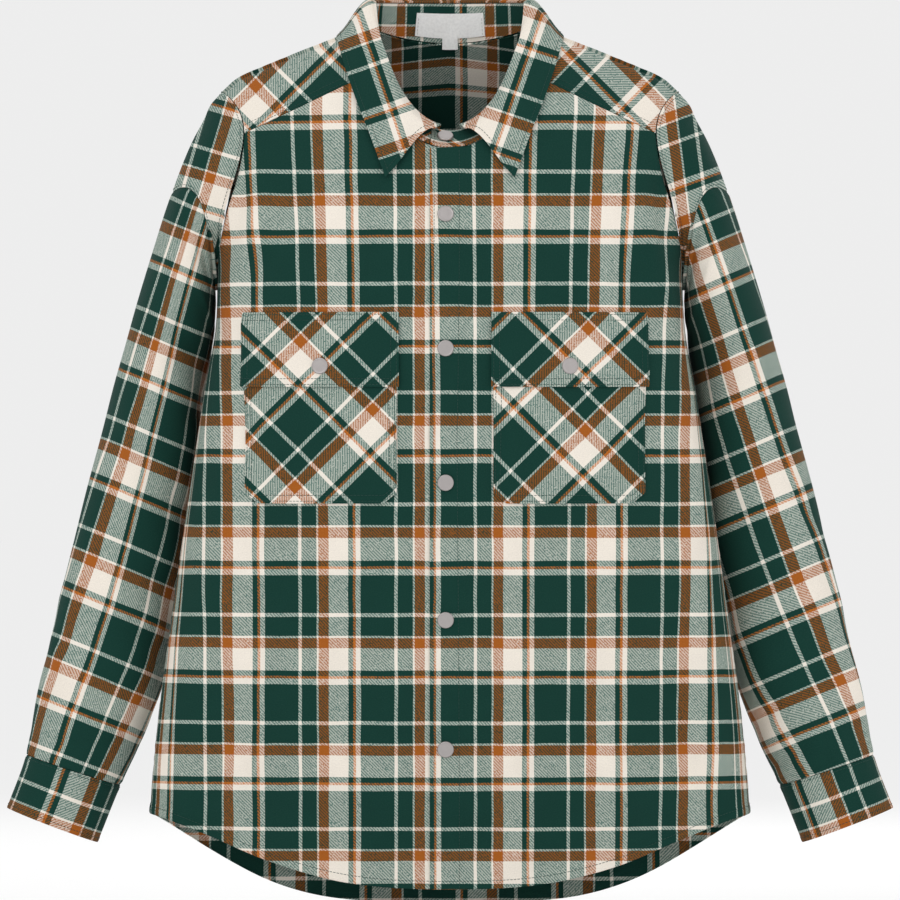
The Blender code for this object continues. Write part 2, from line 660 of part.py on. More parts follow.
def pushed_off_stand(points):
    """Points moved out along the stand's normals, as far as needed for the leaf to clear its outer face."""
    stand = stand_grid()
    rows = steps(0, len(stand) - 1, STAND_STEPS * STAND_FINE)
    columns = steps(0, stand.shape[1] - 1, (stand.shape[1] - 1) * STAND_FINE)
    low_row = np.minimum(rows.astype(int), len(stand) - 2)
    low_column = np.minimum(columns.astype(int), stand.shape[1] - 2)
    up = (rows - low_row)[:, None, None]
    along = (columns - low_column)[None, :, None]
    lower = stand[low_row][:, low_column] * (1 - along) + stand[low_row][:, low_column + 1] * along
    upper = stand[low_row + 1][:, low_column] * (1 - along) + stand[low_row + 1][:, low_column + 1] * along
    fine = lower * (1 - up) + upper * up
    normals = grid_normals(fine, False).reshape(-1, 3)
    flat = fine.reshape(-1, 3)
    nearest = np.argmin(np.linalg.norm(points[:, None] - flat[None], axis=-1), axis=1)
    out = np.sum((points - flat[nearest]) * normals[nearest], axis=-1)
    above_seam = nearest >= fine.shape[1]
    short = np.maximum(LEAF_OUT - out, 0.0) * above_seam
    return points + normals[nearest] * short[:, None]


def stand_between(angles):
    """Foot and roll of the stand at any angles, on the straight lines between its own points."""
    stand = stand_grid()
    own = stand_angles()
    at = np.where(angles > own[-1], angles - 2 * math.pi, angles)

    def between(row):
        return np.stack([np.interp(at, own, row[:, axis]) for axis in range(3)], axis=-1)

    return between(stand[0]), between(stand[-1])


def leaf_angles():
    """Angles of the leaf's columns: the stand's own angles and the middles between them."""
    own = neck_angles()
    left = np.sort(np.concatenate(([LEAF_FRONT_ANGLE], own, (own[:-1] + own[1:]) / 2)))
    return np.concatenate((left, 2 * math.pi - left[-2::-1]))


def leaf_grid():
    """Outer grid of the collar leaf, from the roll (bottom row) over and down to its edge (top row).

    Each column first steps out over the roll, then runs straight to the edge with an upward arch.
    It is pushed out wherever the body or the stand under it comes closer than the leaf's clearance.
    """
    angles = leaf_angles()
    foot, roll = stand_between(angles)
    around = np.gradient(roll, axis=0)
    outward = np.cross(around, roll - foot)
    outward = outward / np.linalg.norm(outward, axis=-1, keepdims=True)
    up = np.cross(outward, around)
    up = up / np.linalg.norm(up, axis=-1, keepdims=True)
    start = roll + up * LEAF_SEAT
    turned = start + outward * LEAF_OUT + up * LEAF_TURN_UP
    along = np.linspace(0.0, 1.0, LEAF_STEPS)[1:] ** LEAF_SPACING
    arch = LEAF_ROLL_UP * ARCH_PEAK * along * (1 - along) ** 2
    columns = []
    for index, angle in enumerate((angles + math.pi) % (2 * math.pi) - math.pi):
        curve = start[index] + (leaf_edge(angle) - start[index]) * along[:, None]
        curve[:, 2] += arch
        face = FRONT if abs(angle) <= math.pi / 2 else BACK
        under = np.minimum(curve[:, 2], ridge(np.abs(curve[:, 0])))
        surface = body_point(face, share_at(face, curve[:, 0], under), under)[:, 1] + face * LEAF_CLEAR
        curve[:, 1] += face * np.maximum(face * (surface - curve[:, 1]), 0.0)
        columns.append(np.concatenate((start[index, None], turned[index, None], pushed_off_stand(curve))))
    return np.stack(columns, axis=1)


def front_patch(across, heights, lift):
    """Outer grid of something that lies on the fronts, moved out from their points."""
    grid_x, grid_z = np.meshgrid(across, heights)
    share = share_at(FRONT, grid_x, grid_z)
    points = body_point(FRONT, share, grid_z)
    normals = grid_normals(points, False)
    return points + normals * np.asarray(lift)[..., None], normals


def build_body():
    """Fronts, yokes, back, caps, sleeves and cuffs, which share their seams' points."""
    left = front_grid(-OVERLAP_EDGE)
    right = front_grid(-UNDERLAP_EDGE)
    yoke = yoke_grid()
    cap = arm_grid(0, CAP_SEAM_RING, CAP_STEPS)
    sleeve = arm_grid(CAP_SEAM_RING, CUFF_SEAM_RING, SLEEVE_STEPS)
    cuff = arm_grid(CUFF_SEAM_RING, CUFF_END_RING, CUFF_STEPS)
    pieces = {
        "front_left": (left, "top right".split(), False),
        "front_right": (mirrored(right), "top left".split(), False),
        "yoke_left": (yoke, "top right left bottom".split(), False),
        "yoke_right": (mirrored(yoke), "top right left bottom".split(), False),
        "back": (back_grid(), "top left right".split(), False),
    }
    for name, grid, sides in (
        ("cap", cap, ("top", "bottom")),
        ("sleeve", sleeve, ("top", "bottom")),
        ("cuff", cuff, ("top",)),
    ):
        pieces[name + "_left"] = (grid[:, ::-1], sides, True)
        pieces[name + "_right"] = (mirrored(grid)[:, ::-1], sides, True)
    normals = shared_normals(pieces)
    for name, (grid, sides, closed) in pieces.items():
        outer = trimmed(grid, sides)
        if name == "front_left":
            outer[:, :2] += normals[name][:, :2] * OVERLAP_LIFT
        finish = BIAS_GREEN if name.startswith("yoke") else PLAID_GREEN
        add_wall(name, outer, normals[name], CLOTH, finish, closed)


def shared_normals(pieces):
    """Normals of every piece, the same for two pieces along a seam that runs on smoothly."""
    own = {name: grid_normals(grid, closed) for name, (grid, sides, closed) in pieces.items()}
    meeting = {}
    for name, (grid, sides, closed) in pieces.items():
        for key, normal in edge_points(grid, own[name], closed):
            meeting.setdefault(key, []).append(normal)
    result = {}
    for name, (grid, sides, closed) in pieces.items():
        normals = own[name].copy()
        for index in edge_indices(grid.shape, closed):
            near = [n for n in meeting[seam_key(grid[index])] if np.dot(n, own[name][index]) > SEAM_TURN]
            total = np.sum(near, axis=0)
            normals[index] = total / np.linalg.norm(total)
        result[name] = normals
    return result


def seam_key(point):
    """A seam point's rounded place, so that both pieces find each other there."""
    return tuple(np.round(point / SEAM_MATCH).astype(int))


def edge_indices(shape, closed):
    """Indices of a grid's edge points."""
    rows, columns = shape[:2]
    found = [(row, column) for row in (0, rows - 1) for column in range(columns)]
    if not closed:
        found += [(row, column) for row in range(1, rows - 1) for column in (0, columns - 1)]
    return found


def edge_points(grid, normals, closed):
    """Place and normal of each edge point of a grid."""
    return [(seam_key(grid[index]), normals[index]) for index in edge_indices(grid.shape, closed)]


def build_collar():
    """Stand and leaf."""
    stand = stand_grid()
    stand_normals = grid_normals(stand, False)
    lifted = stand + stand_normals * (CLOTH + COLLAR_CLOTH) / 2
    raised = trimmed(lifted, ("bottom",), STAND_RAISE)
    add_wall("collar_stand", raised, stand_normals, COLLAR_CLOTH, PLAID_GREEN)
    leaf = leaf_grid()
    leaf_normals = -grid_normals(leaf, False)
    add_wall("collar_leaf", leaf[:, ::-1], leaf_normals[:, ::-1], COLLAR_CLOTH, PLAID_GREEN)
    return stand, stand_normals


def build_pockets():
    """Patch pockets with cut corners, and their flaps."""
    for side, middle in POCKET_MIDDLE.items():
        across = steps(-POCKET_WIDTH / 2, POCKET_WIDTH / 2, PATCH_COLUMNS)
        heights = steps(POCKET_BOTTOM, POCKET_TOP, POCKET_ROWS)
        pocket_lift = np.full((len(heights), len(across)), PATCH_GAP + CLOTH)
        grid, normals = front_patch(middle + across, heights, pocket_lift)
        for column in (0, -1):
            grid[0, column] += (0.0, 0.0, POCKET_CORNER)
        add_wall("pocket_" + side, grid, normals, CLOTH, BIAS_GREEN)
        across = steps(-FLAP_WIDTH / 2, FLAP_WIDTH / 2, PATCH_COLUMNS)
        heights = np.concatenate((steps(FLAP_BOTTOM, FLAP_TOP - FLAP_TAPER, FLAP_ROWS), [FLAP_TOP]))
        over_pocket = np.clip((FLAP_TOP - heights) / FLAP_TAPER, 0.0, 1.0)
        lift = PATCH_GAP + CLOTH + over_pocket * (LAYER_GAP + CLOTH)
        flap_lift = np.repeat(lift[:, None], len(across), axis=1)
        flap, flap_normals = front_patch(middle + across, heights, flap_lift)
        add_wall("flap_" + side, flap, flap_normals, CLOTH, BIAS_GREEN)


def add_snap(name, seat, normal):
    """Round snap cap with a rounded edge, seated just off the cloth."""
    normal = normal / np.linalg.norm(normal)
    sideways = np.cross(normal, (0.0, 0.0, 1.0))
    sideways = sideways / np.linalg.norm(sideways)
    upward = np.cross(sideways, normal)
    turns = np.arange(SNAP_SIDES) * 2 * math.pi / SNAP_SIDES
    circle = np.cos(turns)[:, None] * sideways - np.sin(turns)[:, None] * upward
    profile = (
        (SNAP_RADIUS, 0.0),
        (SNAP_RADIUS, SNAP_HEIGHT - SNAP_EDGE),
        (SNAP_RADIUS - SNAP_EDGE, SNAP_HEIGHT),
    )
    base = seat + normal * LAYER_GAP
    points = []
    for radius, height in profile:
        points.extend(base + normal * height + radius * circle)
    faces = []
    for level in range(len(profile) - 1):
        for i in range(SNAP_SIDES):
            j = (i + 1) % SNAP_SIDES
            low = level * SNAP_SIDES
            high = low + SNAP_SIDES
            faces.append([low + i, low + j, high + j, high + i])
    faces.append(list(range(SNAP_SIDES - 1, -1, -1)))
    top = (len(profile) - 1) * SNAP_SIDES
    faces.append(list(range(top, top + SNAP_SIDES)))
    add_object(name, points, faces, SNAP_METAL)


def build_snaps(stand, stand_normals):
    """Snap caps down the front, on the collar stand and on the flaps."""
    spread = np.array((-SNAP_RADIUS, 0.0, SNAP_RADIUS))
    for number, height in enumerate(FRONT_SNAP_HEIGHTS, start=1):
        points, normals = front_patch(FRONT_SNAP_X + spread, height + spread, np.full((3, 3), OVERLAP_LIFT))
        add_snap("snap_front_%d" % number, points[1, 1], normals[1, 1])
    flap_lift = 2 * CLOTH + PATCH_GAP + LAYER_GAP
    for side, middle in POCKET_MIDDLE.items():
        points, normals = front_patch(middle + spread, FLAP_SNAP_HEIGHT + spread, np.full((3, 3), flap_lift))
        add_snap("snap_flap_" + side, points[1, 1], normals[1, 1])
    lifted = stand + stand_normals * (CLOTH + COLLAR_CLOTH) / 2
    ends = lifted[0, :2] + (lifted[-1, :2] - lifted[0, :2]) * COLLAR_SNAP_SHARE
    seat = ends[0] + (ends[1] - ends[0]) * COLLAR_SNAP_ALONG
    normal = np.cross(ends[1] - ends[0], lifted[-1, 0] - lifted[0, 0])
    add_snap("snap_collar", seat, normal)


def inside_stand(width, low, high, lift, row_steps):
    """Grid on the inner face of the stand at the middle back, moved in; it faces the neck."""
    reach = width / 2 / NECK_HALF_WIDTH
    own = stand_angles()
    own = own[np.abs(own - math.pi) < reach]
    foot, roll = stand_between(np.concatenate(([math.pi - reach], own, [math.pi + reach])))
    grid = foot + (roll - foot) * steps(low, high, row_steps)[:, None, None]
    normals = -grid_normals(grid, False)
    return (grid + normals * lift)[:, ::-1], normals[:, ::-1]


def build_labels():
    """Blank label and size tab, sewn inside the stand."""
    lift = (COLLAR_CLOTH - CLOTH) / 2 + LAYER_GAP + LABEL_CLOTH
    grid, normals = inside_stand(LABEL_WIDTH, LABEL_BOTTOM_SHARE, LABEL_TOP_SHARE, lift, LABEL_ROWS)
    add_wall("label", grid, normals, LABEL_CLOTH, LABEL_WHITE)
    lift += LAYER_GAP + LABEL_CLOTH
    grid, normals = inside_stand(TAB_WIDTH, TAB_BOTTOM_SHARE, TAB_TOP_SHARE, lift, LABEL_ROWS)
    add_wall("size_tab", grid, normals, LABEL_CLOTH, LABEL_WHITE)


def main():
    for thing in list(bpy.data.objects):
        bpy.data.objects.remove(thing, do_unlink=True)
    build_body()
    stand, stand_normals = build_collar()
    build_pockets()
    build_snaps(stand, stand_normals)
    build_labels()


main()
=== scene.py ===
import math

import bpy
import numpy as np
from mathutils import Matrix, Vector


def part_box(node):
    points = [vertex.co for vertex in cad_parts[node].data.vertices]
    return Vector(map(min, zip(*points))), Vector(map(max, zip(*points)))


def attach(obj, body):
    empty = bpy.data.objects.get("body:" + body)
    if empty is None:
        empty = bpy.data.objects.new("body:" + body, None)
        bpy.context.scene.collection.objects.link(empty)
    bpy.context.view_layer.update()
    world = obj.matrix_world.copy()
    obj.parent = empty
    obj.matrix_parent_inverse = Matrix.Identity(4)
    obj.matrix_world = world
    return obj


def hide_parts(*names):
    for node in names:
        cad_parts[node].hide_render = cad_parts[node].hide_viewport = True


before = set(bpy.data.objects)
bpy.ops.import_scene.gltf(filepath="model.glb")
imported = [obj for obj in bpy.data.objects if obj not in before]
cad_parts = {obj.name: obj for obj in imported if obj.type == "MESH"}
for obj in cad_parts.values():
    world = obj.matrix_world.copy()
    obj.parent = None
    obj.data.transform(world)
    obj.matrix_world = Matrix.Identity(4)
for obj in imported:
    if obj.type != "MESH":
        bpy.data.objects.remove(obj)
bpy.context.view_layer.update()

front, back = -1, 1
mm = 0.001
camera = {"distance": 10.0, "height": -0.3754, "viewWidth": 0.828, "sensor": 36.0}
# One photograph pixel in the middle, and on the fronts, which stand nearer to the camera, and the origin's pixel.
pixel = 0.92 * mm
frontDepth = 0.11
frontShare = 1 - frontDepth / camera["distance"]
frontPixel = frontShare * pixel
originX, originY = 450, 42

# The body's cross-sections from the tail up to the collar, and the lines that cut it into pieces.
body = {
    "height": (-0.830, -0.710, -0.620, -0.530, -0.410, -0.330, -0.250, -0.190, -0.090, 0.050),
    "halfWidth": (0.2800, 0.2760, 0.2680, 0.2560, 0.2390, 0.2270, 0.2145, 0.2155, 0.224, 0.226),
    "frontY": (-0.085, -0.092, -0.100, -0.108, -0.118, -0.121, -0.118, -0.110, -0.083, -0.058),
    "backY": (0.084, 0.089, 0.096, 0.104, 0.114, 0.120, 0.122, 0.118, 0.100, 0.062),
    "sideY": (-0.004, -0.006, -0.010, -0.010, -0.006, 0.000, 0.008, 0.010, 0.006, 0.004),
    "power": (2.2, 2.2, 2.3, 2.4, 2.6, 2.8, 3.0, 3.2, 3.4, 3.4),
}
bodyFolds = (
    (front, 0.70, -0.66, 0.16, 0.09, -0.0045),
    (front, 0.86, -0.50, 0.18, 0.07, -0.0040),
    (front, -0.74, -0.64, 0.17, 0.08, -0.0045),
    (front, -0.88, -0.46, 0.16, 0.07, -0.0040),
    (back, 0.35, -0.56, 0.26, 0.11, -0.0058),
    (back, -0.42, -0.60, 0.24, 0.10, -0.0060),
    (back, 0.75, -0.48, 0.20, 0.08, -0.0045),
    (back, -0.78, -0.46, 0.20, 0.08, -0.0045),
)
cut = {
    "cloth": 1.1 * mm, "collarCloth": 1.5 * mm, "seamGap": 0.3 * mm, "layerGap": 0.4 * mm, "patchGap": 0.7 * mm,
    "neckHalf": 0.0755, "ridgeAtNeck": 0.0135, "shoulderFall": 0.404, "bendFrom": 0.180, "bend": 5.9,
    "drop": {front: 0.16, back: 0.14}, "neckFront": -0.100, "neckBack": 0.0,
    "overlapAngle": math.radians(11), "yokeNeck": math.radians(68), "yokeCorner": math.radians(58),
    "armholeTopX": 0.2098, "armholeBottom": -0.212, "dip": {front: 0.022, back: 0.014}, "dipPower": 1.8,
    "overlap": 0.0184, "underlap": 0.0125, "hemSide": -0.709,
    "hemMiddle": {front: -0.776, back: -0.795}, "hemSweep": {front: 1.4, back: 1.8},
}
levels = np.linspace(body["height"][0], body["height"][-1], 240)
shareSteps = np.linspace(0.0, 1.0, 161)


# A cubic through the values, whose slope at each knot comes from its neighbours.
def smooth(knots, values, at):
    knots, values, at = (np.asarray(part, dtype=float) for part in (knots, values, at))
    slopes = np.gradient(values, knots, axis=0)
    index = np.clip(np.searchsorted(knots, at, side="right") - 1, 0, len(knots) - 2)
    step = knots[index + 1] - knots[index]
    along = (at - knots[index]) / step
    extra = (1,) * (values.ndim - 1)
    step, along = step.reshape(step.shape + extra), along.reshape(along.shape + extra)
    first = 2 * along**3 - 3 * along**2 + 1
    start = first * values[index] + (along**3 - 2 * along**2 + along) * step * slopes[index]
    end = (1 - first) * values[index + 1] + (along**3 - along**2) * step * slopes[index + 1]
    return start + end


# Rises from 0 to 1 between two values with level ends.
def ramp(low, high, at):
    share = np.clip((at - low) / (high - low), 0.0, 1.0)
    return share * share * (3 - 2 * share)


# Even steps from 0 to 1 that crowd together at both ends: x - k sin(2 pi x) / 2 pi.
def crowded(count, strength=0.82):
    share = np.linspace(0.0, 1.0, count)
    return share - strength * np.sin(2 * math.pi * share) / (2 * math.pi)


# One of the body's values at a height, between its cross-sections.
def bodyAt(name, height):
    return smooth(body["height"], body[name], height)


# Quarter rings |x/a|^p + |y/b|^p = 1, tabled by level and by share of the ring's length.
def ringTables(face):
    angles = np.linspace(0.0, math.pi / 2, 400)
    widths, depths, inverse = [], [], []
    for level in levels:
        exponent = 2.0 / bodyAt("power", level)
        across = bodyAt("halfWidth", level) * np.sin(angles) ** exponent
        depth = np.clip(np.cos(angles), 0.0, 1.0) ** exponent
        outward = abs(bodyAt("frontY" if face == front else "backY", level) - bodyAt("sideY", level)) * depth
        length = np.concatenate(([0.0], np.cumsum(np.hypot(np.diff(across), np.diff(outward)))))
        widths.append(np.interp(shareSteps, length / length[-1], across))
        depths.append(np.interp(shareSteps, length / length[-1], depth))
        inverse.append(np.interp((1 - (1 - shareSteps) ** 2) * across[-1], across, length / length[-1]))
    return np.array(widths), np.array(depths), np.array(inverse)


tables = {front: ringTables(front), back: ringTables(back)}


# Reads a table between its entries, straight in both directions.
def tableAt(table, share, height):
    row = np.clip((height - levels[0]) / (levels[1] - levels[0]), 0, len(levels) - 1.001)
    column = np.clip(share, 0.0, 1.0) * (len(shareSteps) - 1.001)
    i, j = row.astype(int), column.astype(int)
    u, v = row - i, column - j
    low = table[i, j] * (1 - v) + table[i, j + 1] * v
    high = table[i + 1, j] * (1 - v) + table[i + 1, j + 1] * v
    return low * (1 - u) + high * u


# The shoulder's top line: a straight fall from the neck with a bend at its end.
def ridge(across):
    bend = cut["bend"] * np.maximum(across - cut["bendFrom"], 0.0) ** 2
    return cut["ridgeAtNeck"] - cut["shoulderFall"] * (across - cut["neckHalf"]) - bend


# The body's surface: the ring's depth, rounded over at the shoulder line, plus its hanging folds.
def bodyPoint(face, share, height):
    share, height = np.broadcast_arrays(np.asarray(share, dtype=float), np.asarray(height, dtype=float))
    across = tableAt(tables[face][0], np.abs(share), height)
    fall = np.clip((ridge(across) - height) / cut["drop"][face], 0.0, 1.0)
    side = bodyAt("sideY", height)
    edge = bodyAt("frontY" if face == front else "backY", height)
    outward = (edge - side) * tableAt(tables[face][1], np.abs(share), height) * np.sqrt(1 - (1 - fall) ** 2)
    for foldFace, at, middle, reach, width, depth in bodyFolds:
        if foldFace == face:
            spread = np.exp(-(((share - at) / width) ** 2) - ((height - middle) / reach) ** 2)
            outward = outward + face * depth * spread * (1 - np.abs(share) ** 8)
    return np.stack((np.sign(share) * across, side + outward, height), axis=-1)


# The share of the ring at a distance from the middle, from the inverse table in 1 - sqrt(1 - x/a).
def shareAt(face, across, height):
    across, height = np.broadcast_arrays(np.asarray(across, dtype=float), np.asarray(height, dtype=float))
    part = np.clip(np.abs(across) / bodyAt("halfWidth", height), 0.0, 1.0)
    return np.sign(across) * tableAt(tables[face][2], 1 - np.sqrt(1 - part), height)


# The armhole edge: a half circle in height with a scoop toward the chest.
def armhole(face, angles):
    down = (1 - np.cos(angles)) / 2
    top = float(ridge(cut["armholeTopX"]))
    height = top + (cut["armholeBottom"] - top) * down
    bottomX = float(bodyAt("halfWidth", cut["armholeBottom"]))
    scoop = cut["dip"][face] * np.abs(np.sin(math.pi * np.sqrt(down))) ** cut["dipPower"]
    share = shareAt(face, cut["armholeTopX"] + (bottomX - cut["armholeTopX"]) * down - scoop, height)
    return np.stack((np.where(down > 1 - 1e-9, 1.0, share), height), axis=-1)


# The neck edge: an ellipse in front, a shallow sine squared behind.
def neckline(face, angles):
    rise = cut["ridgeAtNeck"] - cut["neckFront"]
    height = cut["ridgeAtNeck"] - rise * np.cos(angles)
    if face == back:
        height = cut["neckBack"] + (cut["ridgeAtNeck"] - cut["neckBack"]) * np.sin(angles) ** 2
    return np.stack((shareAt(face, cut["neckHalf"] * np.sin(angles), height), height), axis=-1)


# The tail hem: one cosine sweep from the middle up to the side.
def hemHeight(face, share):
    rise = (1 - np.cos(math.pi * np.abs(share) ** cut["hemSweep"][face])) / 2
    return cut["hemMiddle"][face] + (cut["hemSide"] - cut["hemMiddle"][face]) * rise


# The sum of a path's steps up to each of its points.
def lengthAlong(path):
    return np.concatenate(([0.0], np.cumsum(np.linalg.norm(np.diff(path, axis=0), axis=1))))


# Points at shares of a path's own length.
def resample(path, shares):
    length = lengthAlong(path)
    return np.stack([np.interp(shares * length[-1], length, path[:, k]) for k in range(path.shape[1])], axis=-1)


# A patch between four edges: the two straight blends of opposite edges less the blend of the corners.
def patch(bottom, top, left, right, across, upward):
    bottom, top = resample(bottom, across), resample(top, across)
    left, right = resample(left, upward), resample(right, upward)
    a, u = across[None, :, None], upward[:, None, None]
    sides = (1 - a) * left[:, None] + a * right[:, None]
    ends = (1 - u) * bottom[None] + u * top[None]
    return sides + ends - (1 - u) * ((1 - a) * bottom[0] + a * bottom[-1]) - u * ((1 - a) * top[0] + a * top[-1])


# Cross products of the steps along a grid's rows and columns; a closed row meets itself.
def gridNormals(grid, closed=False):
    across = np.gradient(grid, axis=1)
    if closed:
        turn = (grid[:, 1] - grid[:, -2]) / 2
        across[:, 0], across[:, -1] = turn, turn
    normals = np.cross(across, np.gradient(grid, axis=0))
    return normals / np.maximum(np.linalg.norm(normals, axis=-1, keepdims=True), 1e-12)


# Distance of every grid point from the grid's four edges, along its own rows and columns.
def edgeDistances(grid):
    across = np.zeros(grid.shape[:2])
    across[:, 1:] = np.cumsum(np.linalg.norm(np.diff(grid, axis=1), axis=-1), axis=1)
    upward = np.zeros(grid.shape[:2])
    upward[1:] = np.cumsum(np.linalg.norm(np.diff(grid, axis=0), axis=-1), axis=0)
    return {"left": across, "right": across[:, -1:] - across, "bottom": upward, "top": upward[-1:] - upward}


# A bell curve: e to minus the square of the distance over the reach.
def bell(distance, reach):
    return np.exp(-((distance / reach) ** 2))


seam = {
    "depth": 0.7 * mm, "reach": 2.4 * mm, "waves": (3.1 * mm, 8.7 * mm, 1.9 * mm), "fineShare": 0.4,
    "pucker": 0.28 * mm, "puckerAt": 4 * mm, "puckerReach": 5 * mm,
}


# A sewn edge: a dip that fades over a few millimetres, with small uneven puckers along it.
def seamDip(grid, sides, depth=seam["depth"]):
    distances = edgeDistances(grid)
    total = np.zeros(grid.shape[:2])
    for index, side in enumerate(sides):
        near = distances[side]
        run = distances["bottom" if side in ("left", "right") else "left"]
        short, long, fine = (run / wave for wave in seam["waves"])
        pucker = np.sin(short + index) * np.sin(long + 2 * index) + seam["fineShare"] * np.sin(fine)
        total -= depth * bell(near, seam["reach"])
        total += seam["pucker"] * pucker * bell(near - seam["puckerAt"], seam["puckerReach"])
    return total


turned = {
    "layer": 0.55 * mm, "stepIn": 1 * mm, "stepOut": 1.5 * mm, "round": 0.8 * mm,
    "dip": 0.35 * mm, "dipIn": 1.5 * mm, "dipReach": 1.1 * mm,
}


# A turned edge: one more layer of cloth as far as its stitching, a dip along the stitches, and a rounded end.
def turnedEdge(grid, sides, width):
    distances = edgeDistances(grid)
    total = np.zeros(grid.shape[:2])
    for side in sides:
        near = distances[side]
        total += turned["layer"] * (1 - ramp(width - turned["stepIn"], width + turned["stepOut"], near))
        total -= turned["dip"] * bell(near - width + turned["dipIn"], turned["dipReach"])
        total -= turned["layer"] * bell(near, turned["round"])
    return total


# Shares of a crease's length or width: its bow, where it fades, and the shallow fold beside it.
crease = {"bow": 0.06, "fadeIn": (-0.12, 0.35), "fadeOut": (0.62, 1.12), "beside": (0.45, 1.7, 1.3)}


# Creases: each is a line between two places, with a rounded section and ends that fade out.
def creases(first, second, rows):
    total = np.zeros(first.shape)
    besideDepth, besideAt, besideWidth = crease["beside"]
    for x0, z0, x1, z1, width, depth in rows:
        runX, runZ = x1 - x0, z1 - z0
        length = math.hypot(runX, runZ)
        along = ((first - x0) * runX + (second - z0) * runZ) / length**2
        bow = crease["bow"] * length * np.sin(math.pi * np.clip(along, 0, 1)) * math.copysign(1, depth)
        off = ((first - x0) * runZ - (second - z0) * runX) / length + bow
        fade = ramp(*crease["fadeIn"], along) * (1 - ramp(*crease["fadeOut"], along))
        beside = besideDepth * bell(off - besideAt * width, besideWidth * width)
        total += depth * fade * (bell(off, width) - beside)
    return total


# Cloth never lies quite even: three slow waves of different directions.
def unevenness(first, second, depth):
    wave = np.sin(first * 61 + 1.3 * np.sin(second * 23)) * np.sin(second * 47 + 0.8)
    wave = wave + 0.6 * np.sin(first * 31 - second * 38 + 2.1) + 0.4 * np.sin(first * 103 + second * 29)
    return depth * wave


# The other side's grid: x turned round, and its columns too, so that it still faces out.
def mirrored(grid):
    return (grid * np.array((-1.0, 1.0, 1.0)))[:, ::-1]


# Draws the named edges back from their seams.
def trimmed(grid, sides, gap=cut["seamGap"]):
    result = grid.copy()
    edges = {"bottom": (result[0], grid[1]), "top": (result[-1], grid[-2]),
             "left": (result[:, 0], grid[:, 1]), "right": (result[:, -1], grid[:, -2])}
    for side in sides:
        edge, inner = edges[side]
        toward = inner - edge
        edge += gap * toward / np.maximum(np.linalg.norm(toward, axis=-1, keepdims=True), 1e-9)
    return result


tuck = {"steps": (0.8 * mm, 3.5 * mm), "leastStep": 0.2 * mm, "pastNeck": (0.068, 0.080)}


# Seam allowances: each sewn edge but the neck's turns in through the cloth in two steps, and its chart runs on.
def tucked(grid, normals, uv, sides):
    for side in sides:
        axis = 0 if side in ("top", "bottom") else 1
        end, inside = (-1, -2) if side in ("top", "right") else (0, 1)
        edge, turn, place = (np.take(part, [end], axis=axis) for part in (grid, normals, uv))
        within, placeWithin = (np.take(part, [inside], axis=axis) for part in (grid, uv))
        step = np.linalg.norm(edge - within, axis=-1, keepdims=True)
        rate = (place - placeWithin) / np.maximum(step, tuck["leastStep"])
        reach = ramp(*tuck["pastNeck"], np.abs(edge[..., :1]))
        rows = [edge - turn * length * reach for length in tuck["steps"]]
        places = [place + rate * length * reach for length in tuck["steps"]]
        grid, normals, uv = (np.concatenate((part, *extra) if end else (*extra[::-1], part), axis=axis)
                             for part, extra in ((grid, rows), (normals, [turn, turn]), (uv, places)))
    return grid, uv


# A piece at the origin, with its UV given corner by corner.
def addMesh(name, points, faces, uv, material, sharp=50):
    mesh = bpy.data.meshes.new(name)
    mesh.from_pydata(points, [], faces)
    layer = mesh.uv_layers.new(name="UVMap")
    layer.data.foreach_set("uv", np.asarray(uv, dtype=np.float32).ravel())
    mesh.shade_smooth()
    mesh.set_sharp_from_angle(angle=math.radians(sharp))
    mesh.materials.append(material)
    piece = bpy.data.objects.new(name, mesh)
    bpy.context.collection.objects.link(piece)
    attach(piece, "root")
    return piece


# The four corners of each square of a table, in order.
def squares(table):
    corners = (table[:-1, :-1], table[:-1, 1:], table[1:, 1:], table[1:, :-1])
    return np.stack(corners, axis=2).reshape(-1, 4, *table.shape[2:])


# A closed thin shell: the outer grid, the same grid moved in by the cloth's thickness, and its rims.
def addShell(name, outer, normals, thick, uv, material, closed=False):
    rows, columns = outer.shape[:2]
    own = columns - 1 if closed else columns
    layers = np.concatenate([layer[:, :own].reshape(-1, 3) for layer in (outer, outer - thick * normals)])
    place = np.arange(rows * columns).reshape(rows, columns)
    vertex = np.arange(rows)[:, None] * own + np.arange(columns)[None, :] % own
    count = rows * own
    faces = [squares(vertex), squares(vertex)[:, ::-1] + count]
    corners = [squares(place), squares(place)[:, ::-1]]
    rims = [np.s_[0, ::-1], np.s_[-1, :]] + ([] if closed else [np.s_[:, 0], np.s_[::-1, -1]])
    for rim in rims:
        ids, spots = vertex[rim], place[rim]
        faces.append(np.stack((ids[:-1], ids[1:], ids[1:] + count, ids[:-1] + count), axis=-1))
        corners.append(np.stack((spots[:-1], spots[1:], spots[1:], spots[:-1]), axis=-1))
    flat = uv.reshape(-1, 2)[np.concatenate(corners).ravel()]
    return addMesh(name, layers, np.concatenate(faces).tolist(), flat, material)


lines = {"body": [], "sleeve": [], "collar": [], "patch": [], "label": []}


# Cloth pieces: the shell and its rows of stitches at their distances from its edges, with the model's part hidden.
def addCloth(node, slot, outer, uv, group, stitches, normals=None, thick=cut["cloth"],
             closed=False, sewn=(), ending="_cloth"):
    if normals is None:
        normals = gridNormals(outer, closed)
    for side, offset in stitches:
        lines[group].append(lineAt(outer, normals, side, offset))
    if sewn:
        outer, uv = tucked(outer, normals, uv, sewn)
        normals = gridNormals(outer, closed)
    piece = addShell(node + ending, outer, normals, thick, uv, finishes[slot], closed)
    distances = edgeDistances(outer)
    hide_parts(node)


